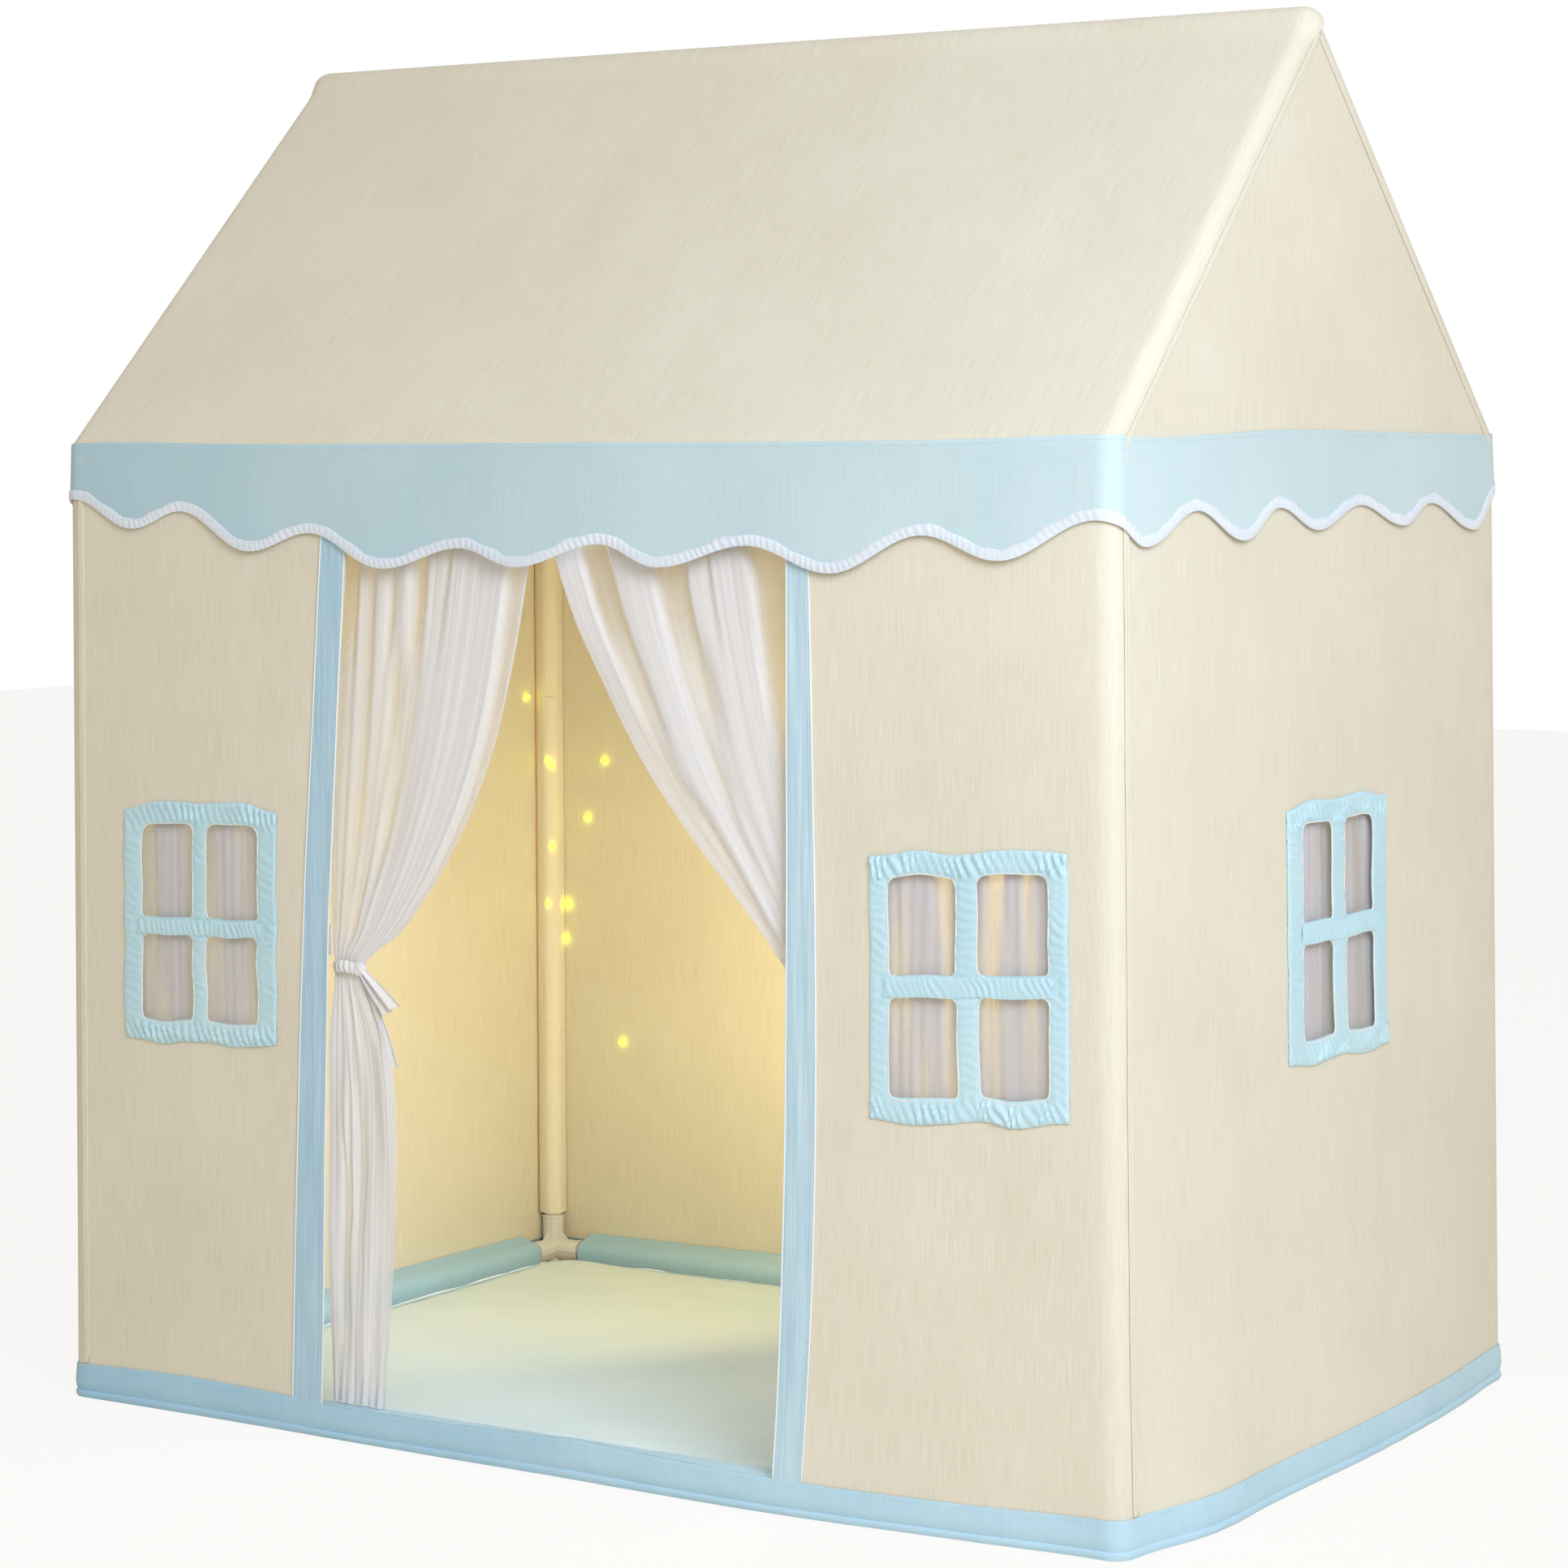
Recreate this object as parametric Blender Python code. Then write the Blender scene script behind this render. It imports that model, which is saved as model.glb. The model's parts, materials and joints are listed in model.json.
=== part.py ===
"""Children's play tent shaped like a small house: a push-fit tube frame under a sewn cloth cover.

X runs along the front from left to right, Y from the front to the back and Z up. The origin is on the
ground under the middle of the tent. All sizes are in metres.
"""

from math import atan2, ceil, cos, exp, pi, radians, sin, tan

import bmesh
import bpy
from mathutils import Matrix, Vector

# Size of the tent over its cloth
WIDTH = 1.200
DEPTH = 0.820
EAVE_HEIGHT = 0.962
RIDGE_HEIGHT = 1.366

# Cloth, and the running gap kept wherever two pieces lie against each other
CANVAS = 0.0015
BAND = 0.0012
GAP = 0.0003
WRAP_STEPS = 3

# Tubes and their moulded push-fit fittings
TUBE_RADIUS = 0.0100
TUBE_WALL = 0.0015
ROUND_SIDES = 12
SHARP_ANGLE = radians(40)
SOCKET_CLEARANCE = 0.0006
SOCKET_WALL = 0.0018
RIM_RADIUS = 0.0130
RIM_LENGTH = 0.004
HUB_RADIUS = 0.0129
ARM_ROOT = 0.0025
ARM_TURN = radians(3.7)
SOCKET_DEPTH = 0.026
SOCKET_START = 0.014
WALL_BETWEEN_SOCKETS = 0.001
WEB_REACH = 0.032
WEB_THICKNESS = 0.0024
FOOT_RADIUS = 0.0115
FOOT_HEIGHT = 0.002
COUPLER_LENGTH = 0.070
COUPLER_RADIUS = 0.0122

# Hook-and-loop straps that hold the cover to the posts
STRAP_HEIGHT = 0.068
STRAP_THICKNESS = 0.0014
STRAP_CENTRES = (0.317, 0.6275)

# Doorway: its sides lean a little, as the cloth hangs
DOOR_LEFT_TOP = -0.233
DOOR_LEFT_BOTTOM = -0.277
DOOR_RIGHT_TOP = 0.267
DOOR_RIGHT_BOTTOM = 0.257
HEADER_BOTTOM = 0.905
LEFT_TRIM_WIDTH = 0.034
RIGHT_TRIM_WIDTH = 0.027
TRIM_TOP = 0.905

# Hem band along the ground, also across the doorway
HEM_HEIGHT = 0.035
WALL_BOTTOM = 0.026

# Scalloped valance
VALANCE_TOP_DROP = 0.0025
VALANCE_CLOTH = 0.0012
VALANCE_BOTTOM = 0.888
VALANCE_SAG = 0.033
VALANCE_SAG_POWER = 3
VALANCE_BULGE = 0.009
VALANCE_BULGE_POWER = 1.5
SCALLOP_RISE = 0.0125
FRONT_SCALLOP_PITCH = 0.167
FRONT_SCALLOP_SHIFT = -0.031
SIDE_SCALLOP_PITCH = 0.1765
SIDE_SCALLOP_SHIFT = 0.010
SCALLOP_STEPS = 6
VALANCE_ROWS = 3

# Windows: frames of cloth band over four panes, with a sheer gathered behind
WINDOW_BAND = 0.023
MUNTIN = 0.016
PANE_TURN = 0.003
FRONT_WINDOW_WIDTH = 0.192
FRONT_WINDOW_HEIGHT = 0.236
FRONT_WINDOW_LEFT = -0.4285
FRONT_WINDOW_RIGHT = 0.450
FRONT_WINDOW_CENTRE_HEIGHT = 0.482
SIDE_WINDOW_WIDTH = 0.215
SIDE_WINDOW_HEIGHT = 0.239
SIDE_WINDOW_CENTRE = 0.0275
SIDE_WINDOW_CENTRE_HEIGHT = 0.4965
SHEER_CLOTH = 0.0010
SHEER_MARGIN = 0.006
SHEER_FOLD_DEPTH = 0.0030
SHEER_FOLDS = 7
SHEER_STEPS = 4
SHEER_ROWS = 2

# Door curtains, each drawn to its jamb and tied there
CURTAIN_CLOTH = 0.0016
CURTAIN_BOTTOM = 0.029
CURTAIN_MEETING = -0.018
CURTAIN_PARTING = 0.004
CURTAIN_BEHIND_JAMB = 0.020
CURTAIN_FOLDS = 6
CURTAIN_FOLD_STEPS = 5
CURTAIN_ROWS_ABOVE = 6
CURTAIN_ROWS_BELOW = 5
CURTAIN_ROW_POWER = 1.5
CURTAIN_FOLD_DEPTH = 0.0072
CURTAIN_HEADING = 0.030
HEADING_LAP = 0.010
WAIST_HEIGHT = 0.456
WAIST_WIDTH = 0.032
WAIST_FOLD_DEPTH = 0.0045
WAIST_CLOTH = 0.0080
WAIST_SET_BACK = 0.0035
WAIST_BLEND = 0.050
LEFT_WAIST = -0.2480
LEFT_SWEEP = 2.4
LEFT_SKIRT = 0.082
RIGHT_WAIST = 0.2850
RIGHT_SWEEP = 1.5
RIGHT_SKIRT = 0.056
SKIRT_OUTSET = 0.010
SKIRT_POWER = 5

# Ribbon ties
TIE_HEIGHT = 0.016
TIE_CLOTH = 0.0014
TIE_EASE = 0.0006
TIE_CORNER_STEPS = 3
TIE_KNOT = 0.0062
TIE_TAIL_LENGTH = 0.075
TIE_TAIL_WIDTH = 0.022
TIE_TAIL_CLOTH = 0.0012
TIE_TAIL_CLEARANCE = 0.004
TIE_TAIL_STEPS = 4
TIE_TAIL_RIPPLE = 0.0015
TAB_LENGTH = 0.030
TAB_WIDTH = 0.008
TAB_CLOTH = 0.0012
TAB_FROM_DOOR = 0.012

# Padded floor mat, which lies between the base rails
MAT_SIDE_CLEARANCE = 0.0167
MAT_FRONT_CLEARANCE = 0.0317
MAT_BACK_CLEARANCE = 0.0097
MAT_EDGE = 0.006
MAT_THICKNESS = 0.016
MAT_COLUMNS = 14
MAT_ROWS = 10
MAT_CORNER_POWER = 8

# Where the frame's centrelines run, worked out from the cloth outside it
STANDOFF = RIM_RADIUS / cos(pi / 4 / WRAP_STEPS) + GAP + CANVAS
POST_X = WIDTH / 2 - STANDOFF
POST_Y = DEPTH / 2 - STANDOFF
BASE_Z = RIM_RADIUS + FOOT_HEIGHT
ROOF_SLOPE = atan2(RIDGE_HEIGHT - EAVE_HEIGHT, DEPTH / 2)
MITRE = tan((pi / 2 - ROOF_SLOPE) / 2)
EAVE_Z = EAVE_HEIGHT - STANDOFF * MITRE
RIDGE_Z = RIDGE_HEIGHT - STANDOFF / cos(ROOF_SLOPE)
CURTAIN_AXIS_Y = -DEPTH / 2 + CANVAS + GAP + CURTAIN_CLOTH / 2
CURTAIN_AXIS_Z = HEADER_BOTTOM + HEADING_LAP
WAIST_HALF = TIE_HEIGHT / 2 + TIE_EASE

SIDES = {"left": -1, "right": 1}
ENDS = {"front": -1, "back": 1}


def make_material(name, colour, roughness):
    material = bpy.data.materials.new(name)
    material.use_nodes = True
    shader = material.node_tree.nodes["Principled BSDF"]
    shader.inputs["Base Color"].default_value = (*colour, 1)
    shader.inputs["Roughness"].default_value = roughness
    shader.inputs["Metallic"].default_value = 0
    return material


def add_object(name, bm, material, origin=(0, 0, 0), parent=None):
    """Turn the faces outwards, move the mesh so that its origin is at a point, and add it to the scene."""
    bmesh.ops.recalc_face_normals(bm, faces=bm.faces)
    if bm.calc_volume(signed=True) < 0:
        bmesh.ops.reverse_faces(bm, faces=bm.faces)
    bmesh.ops.translate(bm, verts=bm.verts, vec=-Vector(origin))
    mesh = bpy.data.meshes.new(name)
    bm.to_mesh(mesh)
    bm.free()
    mesh.shade_smooth()
    mesh.set_sharp_from_angle(angle=SHARP_ANGLE)
    mesh.materials.append(material)
    obj = bpy.data.objects.new(name, mesh)
    bpy.context.collection.objects.link(obj)
    if parent is None:
        obj.location = origin
    else:
        obj.parent = parent
    return obj


def add_axis(name, point):
    """Add the empty that marks a joint."""
    empty = bpy.data.objects.new(name, None)
    empty.location = point
    bpy.context.collection.objects.link(empty)
    return empty


def boolean(obj, operand, operation):
    """Join or cut an object with a hidden helper."""
    operand.hide_render = True
    operand.display_type = "WIRE"
    operand.name = operand.name + ".helper"
    modifier = obj.modifiers.new(operand.name, "BOOLEAN")
    modifier.operation = operation
    modifier.object = operand


def add_sheet_faces(bm, front, back):
    """Make a closed sheet from two grids of points, its front face and its back face."""
    rows = len(front)
    columns = len(front[0])
    faces = [[[bm.verts.new(point) for point in row] for row in grid] for grid in (front, back)]
    for grid in faces:
        for r in range(rows - 1):
            for c in range(columns - 1):
                bm.faces.new((grid[r][c], grid[r][c + 1], grid[r + 1][c + 1], grid[r + 1][c]))
    rim = [(0, c) for c in range(columns)]
    rim += [(r, columns - 1) for r in range(1, rows)]
    rim += [(rows - 1, c) for c in range(columns - 2, -1, -1)]
    rim += [(r, 0) for r in range(rows - 2, 0, -1)]
    for (r0, c0), (r1, c1) in zip(rim, rim[1:] + rim[:1]):
        bm.faces.new((faces[0][r0][c0], faces[0][r1][c1], faces[1][r1][c1], faces[1][r0][c0]))


def add_sheet(name, front, back, material, origin=(0, 0, 0), parent=None):
    bm = bmesh.new()
    add_sheet_faces(bm, front, back)
    return add_object(name, bm, material, origin, parent)


def add_box_faces(bm, low, high):
    front, back = ([[(x, y, z) for x in (low[0], high[0])] for z in (low[2], high[2])]
                   for y in (low[1], high[1]))
    add_sheet_faces(bm, front, back)


def circle(radius, height):
    """One ring of points of a round piece, about the Z axis."""
    angles = [2 * pi * i / ROUND_SIDES for i in range(ROUND_SIDES)]
    return [Vector((radius * cos(a), radius * sin(a), height)) for a in angles]


def add_turned_faces(bm, rings, matrix, closed):
    """Skin a list of rings; closed ends are capped, and an open piece joins its last ring to its first."""
    loops = [[bm.verts.new(matrix @ point) for point in ring] for ring in rings]
    pairs = list(zip(loops, loops[1:]))
    if not closed:
        pairs.append((loops[-1], loops[0]))
    for low, high in pairs:
        count = len(low)
        for i in range(count):
            bm.faces.new((low[i], low[(i + 1) % count], high[(i + 1) % count], high[i]))
    if closed:
        bm.faces.new(loops[0])
        bm.faces.new(loops[-1])


def along(start, direction):
    """Matrix that turns the Z axis to a direction from a start point."""
    turn = Vector(direction).to_track_quat("Z", "Y").to_matrix().to_4x4()
    return Matrix.Translation(start) @ turn


# Frame

def fitting_arms():
    """Directions of each kind of fitting's sockets, for the back right corner and the right ridge end."""
    rise, run = sin(ROOF_SLOPE), cos(ROOF_SLOPE)
    rails = {"long_rail": Vector((-1, 0, 0)), "side_rail": Vector((0, -1, 0))}
    return {
        "foot": {"post": Vector((0, 0, 1)), **rails},
        "eave": {"rafter": Vector((0, -run, rise)), **rails, "post": Vector((0, 0, -1))},
        "ridge": {"long_rail": Vector((-1, 0, 0)), "rafter": Vector((0, run, -rise)),
                  "far_rafter": Vector((0, -run, -rise))},
    }


WEBS = {
    "foot": (("post", "long_rail"), ("post", "side_rail")),
    "eave": (("post", "long_rail"), ("post", "side_rail")),
    "ridge": (("rafter", "far_rafter"),),
}


def socket_start(kind, arm):
    """How far from the centre a socket's bore begins, so that neighbouring bores stay apart."""
    arms = fitting_arms()[kind]
    start = SOCKET_START
    for other in arms:
        if other != arm:
            half_angle = arms[arm].angle(arms[other]) / 2
            start = max(start, (TUBE_RADIUS + SOCKET_CLEARANCE + WALL_BETWEEN_SOCKETS) / tan(half_angle))
    return start


def fitting_mesh(kind, material):
    """A moulded fitting about its own centre: hub, a rimmed socket for each tube, and webs."""
    bore = TUBE_RADIUS + SOCKET_CLEARANCE
    body = bore + SOCKET_WALL
    arms = fitting_arms()[kind]
    hub = bmesh.new()
    bmesh.ops.create_uvsphere(hub, u_segments=ROUND_SIDES, v_segments=ROUND_SIDES // 2, radius=HUB_RADIUS)
    fitting = add_object(f"{kind}_fitting_pattern", hub, material)
    bores = bmesh.new()
    for index, (arm, direction) in enumerate(arms.items()):
        start = socket_start(kind, arm)
        end = start + SOCKET_DEPTH
        root = -ARM_ROOT * (1 + index / len(arms))
        place = along((0, 0, 0), direction) @ Matrix.Rotation(ARM_TURN * index, 4, "Z")
        rings = [circle(body, root), circle(body, end - RIM_LENGTH),
                 circle(RIM_RADIUS, end - RIM_LENGTH + RIM_RADIUS - body), circle(RIM_RADIUS, end)]
        arm_mesh = bmesh.new()
        add_turned_faces(arm_mesh, rings, place, closed=True)
        boolean(fitting, add_object(f"{kind}_{arm}_arm", arm_mesh, material), "UNION")
        cut = [circle(bore, start), circle(bore, end + SOCKET_DEPTH)]
        add_turned_faces(bores, cut, place, closed=True)
    for first, second in WEBS[kind]:
        web = add_web(f"{kind}_{first}_web_to_{second}", arms[first], arms[second], material)
        boolean(fitting, web, "UNION")
    if kind == "foot":
        sole = bmesh.new()
        add_turned_faces(sole, [circle(FOOT_RADIUS, -BASE_Z), circle(FOOT_RADIUS, -ARM_ROOT / 3)],
                         Matrix.Identity(4), closed=True)
        boolean(fitting, add_object("foot_sole", sole, material), "UNION")
    boolean(fitting, add_object(f"{kind}_bores", bores, material), "DIFFERENCE")
    fitting.hide_render = True
    return bpy.data.meshes.new_from_object(fitting.evaluated_get(bpy.context.evaluated_depsgraph_get()))


def add_web(name, first, second, material):
    """A thin three-cornered web in the plane of two arms."""
    half = first.cross(second).normalized() * WEB_THICKNESS / 2
    outline = [Vector((0, 0, 0)), first * WEB_REACH, second * WEB_REACH]
    bm = bmesh.new()
    rings = [[point - half for point in outline], [point + half for point in outline]]
    add_turned_faces(bm, rings, Matrix.Identity(4), closed=True)
    return add_object(name, bm, material)


def add_fittings(kind, places, material):
    """Mirror one kind of fitting to each of its places, given as name, signs and centre."""
    pattern = fitting_mesh(kind, material)
    for name, (sx, sy), centre in places:
        bm = bmesh.new()
        bm.from_mesh(pattern)
        for vertex in bm.verts:
            vertex.co = Vector((vertex.co.x * sx, vertex.co.y * sy, vertex.co.z)) + centre
        add_object(f"{kind}_fitting_{name}", bm, material, origin=centre)


def tube_profile(length, feature):
    """Outer steps of a tube as (distance, radius): plain, with a coupler, or with straps round it."""
    bands = []
    if feature == "straps":
        foot_end = BASE_Z + socket_start("foot", "post") + GAP
        radius = TUBE_RADIUS + STRAP_THICKNESS
        bands = [(height - foot_end, STRAP_HEIGHT, radius) for height in STRAP_CENTRES]
    if feature == "coupler":
        bands = [(length / 2, COUPLER_LENGTH, COUPLER_RADIUS)]
    steps = [(0, TUBE_RADIUS)]
    for centre, width, radius in bands:
        low, high = centre - width / 2, centre + width / 2
        steps += [(low, TUBE_RADIUS), (low, radius), (high, radius), (high, TUBE_RADIUS)]
    return steps + [(length, TUBE_RADIUS)]


def add_tube(name, first, second, arms, feature, material):
    """A hollow tube whose ends sit at the bottoms of their sockets."""
    direction = (second - first).normalized()
    start = first + direction * (socket_start(*arms[0]) + GAP)
    end = second - direction * (socket_start(*arms[1]) + GAP)
    length = (end - start).length
    bore = TUBE_RADIUS - TUBE_WALL
    rings = [circle(radius, distance) for distance, radius in tube_profile(length, feature)]
    rings += [circle(bore, length), circle(bore, 0)]
    bm = bmesh.new()
    add_turned_faces(bm, rings, along(start, direction), closed=False)
    add_object(name, bm, material, origin=start)


def build_frame(plastic, tube_plastic):
    """Fittings at the corners and ridge ends, and the tubes between them."""
    corners = [(f"{end}_{side}", (sx, sy)) for end, sy in ENDS.items() for side, sx in SIDES.items()]
    for kind, height in (("foot", BASE_Z), ("eave", EAVE_Z)):
        places = [(name, (sx, sy), Vector((sx * POST_X, sy * POST_Y, height))) for name, (sx, sy) in corners]
        add_fittings(kind, places, plastic)
    places = [(side, (sx, 1), Vector((sx * POST_X, 0, RIDGE_Z))) for side, sx in SIDES.items()]
    add_fittings("ridge", places, plastic)
    for name, (sx, sy) in corners:
        foot = Vector((sx * POST_X, sy * POST_Y, BASE_Z))
        eave = Vector((sx * POST_X, sy * POST_Y, EAVE_Z))
        ridge = Vector((sx * POST_X, 0, RIDGE_Z))
        add_tube(f"post_{name}", foot, eave, (("foot", "post"), ("eave", "post")), "straps", tube_plastic)
        add_tube(f"rafter_{name}", eave, ridge, (("eave", "rafter"), ("ridge", "rafter")), None, tube_plastic)
    for level, kind, height in (("base", "foot", BASE_Z), ("eave", "eave", EAVE_Z)):
        for end, sy in ENDS.items():
            left, right = (Vector((sx * POST_X, sy * POST_Y, height)) for sx in (-1, 1))
            add_tube(f"{level}_rail_{end}", left, right, ((kind, "long_rail"),) * 2, "coupler", tube_plastic)
        for side, sx in SIDES.items():
            front, back = (Vector((sx * POST_X, sy * POST_Y, height)) for sy in (-1, 1))
            add_tube(f"{level}_rail_{side}", front, back, ((kind, "side_rail"),) * 2, None, tube_plastic)
    left, right = (Vector((sx * POST_X, 0, RIDGE_Z)) for sx in (-1, 1))
    add_tube("ridge_pole", left, right, (("ridge", "long_rail"),) * 2, "coupler", tube_plastic)


# Cover

def wrapped_section(left, right, wrap_left, wrap_right, outset=0.0, cloth=CANVAS):
    """Outer and inner line of a cloth seen from its edge, as (place along, depth from the wall's face).

    A wrapped end goes a quarter turn round the tube behind it. The outset moves the cloth outwards.
    """
    outer, inner = [], []
    steps = range(WRAP_STEPS + 1)
    radius = STANDOFF + outset
    if wrap_left:
        for angle in (pi / 2 * i / WRAP_STEPS for i in steps):
            outer.append((left + STANDOFF - radius * cos(angle), STANDOFF - radius * sin(angle)))
            inner.append((left + STANDOFF - (radius - cloth) * cos(angle),
                          STANDOFF - (radius - cloth) * sin(angle)))
    else:
        outer.append((left, -outset))
        inner.append((left, cloth - outset))
    if wrap_right:
        for angle in (pi / 2 * (WRAP_STEPS - i) / WRAP_STEPS for i in steps):
            outer.append((right - STANDOFF + radius * cos(angle), STANDOFF - radius * sin(angle)))
            inner.append((right - STANDOFF + (radius - cloth) * cos(angle),
                          STANDOFF - (radius - cloth) * sin(angle)))
    else:
        outer.append((right, -outset))
        inner.append((right, cloth - outset))
    return outer, inner


def wall_top(depth):
    """Height of the eave mitre at a depth behind the wall's face, half the seam gap lower."""
    return EAVE_HEIGHT - MITRE * depth - GAP / 2


def door_edge(side, height):
    """Place of the doorway's edge at a height."""
    share = height / TRIM_TOP
    if side == "left":
        return DOOR_LEFT_BOTTOM + (DOOR_LEFT_TOP - DOOR_LEFT_BOTTOM) * share
    return DOOR_RIGHT_BOTTOM + (DOOR_RIGHT_TOP - DOOR_RIGHT_BOTTOM) * share


def add_wall(name, sy, sections, heights, material):
    """A wall along X from a section for each height; a row without a height follows the eave's mitre."""
    grids = []
    for line in (0, 1):
        grid = []
        for section, height in zip(sections, heights):
            grid.append([(x, sy * (DEPTH / 2 - d), wall_top(d) if height is None else height)
                         for x, d in section[line]])
        grids.append(grid)
    return add_sheet(name, grids[0], grids[1], material)


def build_walls(canvas):
    """Front panels each side of the doorway, the header over it, the back wall and both end walls."""
    half = WIDTH / 2
    heights = (WALL_BOTTOM, None)
    left, right = [], []
    header = []
    for height in (WALL_BOTTOM, EAVE_HEIGHT):
        left.append(wrapped_section(-half, door_edge("left", height), True, False))
        right.append(wrapped_section(door_edge("right", height), half, False, True))
    for height in (HEADER_BOTTOM, EAVE_HEIGHT):
        edges = (door_edge("left", height) + GAP, door_edge("right", height) - GAP)
        header.append(wrapped_section(*edges, False, False))
    walls = {
        "front_wall_left": add_wall("front_wall_left", -1, left, heights, canvas),
        "front_wall_right": add_wall("front_wall_right", -1, right, heights, canvas),
        "door_header": add_wall("door_header", -1, header, (HEADER_BOTTOM, None), canvas),
        "back_wall": add_wall("back_wall", 1, [wrapped_section(-half, half, True, True)] * 2, heights, canvas),
    }
    for side, sx in SIDES.items():
        walls[f"end_wall_{side}"] = add_end_wall(f"end_wall_{side}", sx, canvas)
    return walls


def add_end_wall(name, sx, material):
    """An end wall with its gable in one piece, between the seams beside the tubes."""
    run = POST_Y - GAP
    peak = RIDGE_Z - GAP / cos(ROOF_SLOPE)
    shoulder = peak - run * tan(ROOF_SLOPE)
    outline = [(-run, WALL_BOTTOM), (run, WALL_BOTTOM), (run, shoulder), (0, peak), (-run, shoulder)]
    rings = [[Vector((sx * x, y, z)) for y, z in outline] for x in (WIDTH / 2, WIDTH / 2 - CANVAS)]
    bm = bmesh.new()
    add_turned_faces(bm, rings, Matrix.Identity(4), closed=True)
    return add_object(name, bm, material)


def build_roof(canvas):
    """Two roof slopes that wrap round the rafters and meet at the ridge seam."""
    outer, inner = wrapped_section(-WIDTH / 2, WIDTH / 2, True, True)
    up_slope = Vector((0, cos(ROOF_SLOPE), sin(ROOF_SLOPE))) * GAP / 2
    for end, sy in ENDS.items():
        grids = []
        for line in (outer, inner):
            eave = [Vector((x, d - DEPTH / 2, EAVE_HEIGHT - MITRE * d)) + up_slope for x, d in line]
            ridge = [Vector((x, -GAP / 2, RIDGE_HEIGHT - d / cos(ROOF_SLOPE))) for x, d in line]
            grids.append([[(p.x, -sy * p.y, p.z) for p in row] for row in (eave, ridge)])
        add_sheet(f"roof_{end}", grids[0], grids[1], canvas)


def build_hem(blue):
    """A band sewn round the foot of the walls; across the doorway it is the threshold."""
    outset = BAND + GAP
    half = WIDTH / 2
    outer, inner = wrapped_section(-half, half, True, True, outset, BAND)
    for end, sy in ENDS.items():
        grids = [[[(x, sy * (DEPTH / 2 - d), z) for x, d in line] for z in (0, HEM_HEIGHT)]
                 for line in (outer, inner)]
        add_sheet(f"hem_band_{end}", grids[0], grids[1], blue)
    run = POST_Y - GAP
    for side, sx in SIDES.items():
        grids = [[[(sx * x, y, z) for y in (-run, run)] for z in (0, HEM_HEIGHT)]
                 for x in (half + outset, half + GAP)]
        add_sheet(f"hem_band_{side}", grids[0], grids[1], blue)


def scallop(place, pitch, shift, sag):
    """Height of the valance's lower edge at a place along a wall."""
    return VALANCE_BOTTOM - SCALLOP_RISE - sag - SCALLOP_RISE * cos(2 * pi * (place - shift) / pitch)


def valance_outset(share):
    """How far the valance stands off the wall, by the share of its drop."""
    return GAP + VALANCE_CLOTH + VALANCE_BULGE * share ** VALANCE_BULGE_POWER


def build_valance(blue):
    """A scalloped strip that hangs from the eave on all four sides."""
    top = EAVE_HEIGHT - VALANCE_TOP_DROP
    half = WIDTH / 2
    count = ceil(WIDTH / FRONT_SCALLOP_PITCH) * SCALLOP_STEPS
    flat = [-POST_X + 2 * POST_X * i / count for i in range(1, count)]
    for end, sy in ENDS.items():
        grids = []
        for line in (0, 1):
            grid = []
            for row in range(VALANCE_ROWS + 1):
                share = row / VALANCE_ROWS
                section = wrapped_section(-half, half, True, True, valance_outset(share), VALANCE_CLOTH)[line]
                cut = WRAP_STEPS + 1
                depth = section[cut - 1][1]
                places = section[:cut] + [(x, depth) for x in flat] + section[cut:]
                row_points = []
                for x, d in places:
                    sag = VALANCE_SAG * (1 - min(abs(x) / half, 1) ** VALANCE_SAG_POWER)
                    bottom = scallop(-sy * x, FRONT_SCALLOP_PITCH, FRONT_SCALLOP_SHIFT, sag)
                    row_points.append((x, sy * (DEPTH / 2 - d), top + (bottom - top) * share))
                grid.append(row_points)
            grids.append(grid)
        add_sheet(f"valance_{end}", grids[0], grids[1], blue)
    run = POST_Y - GAP
    count = ceil(2 * run / SIDE_SCALLOP_PITCH) * SCALLOP_STEPS
    for side, sx in SIDES.items():
        grids = []
        for cloth in (0, VALANCE_CLOTH):
            grid = []
            for row in range(VALANCE_ROWS + 1):
                share = row / VALANCE_ROWS
                row_points = []
                for i in range(count + 1):
                    y = -run + 2 * run * i / count
                    bottom = scallop(y, SIDE_SCALLOP_PITCH, SIDE_SCALLOP_SHIFT, 0)
                    x = sx * (half + valance_outset(share) - cloth)
                    row_points.append((x, y, top + (bottom - top) * share))
                grid.append(row_points)
            grids.append(grid)
        add_sheet(f"valance_{side}", grids[0], grids[1], blue)


def build_door_trims(blue):
    """A straight band down each side of the doorway, from under the valance to the hem."""
    widths = {"left": LEFT_TRIM_WIDTH, "right": RIGHT_TRIM_WIDTH}
    for side, sx in SIDES.items():
        grids = []
        for y in (-DEPTH / 2 - GAP - BAND, -DEPTH / 2 - GAP):
            rows = []
            for z in (HEM_HEIGHT + GAP, TRIM_TOP):
                edge = door_edge(side, z)
                rows.append([(edge, y, z), (edge + sx * widths[side], y, z)])
            grids.append(rows)
        add_sheet(f"door_trim_{side}", grids[0], grids[1], blue)


# Windows

def window_lines(width, height):
    """Cut lines of a window's lattice across and up, about its own centre."""
    lines = []
    for size in (width, height):
        half = size / 2
        lines.append((-half, WINDOW_BAND - half, -MUNTIN / 2, MUNTIN / 2, half - WINDOW_BAND, half))
    return lines


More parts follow.
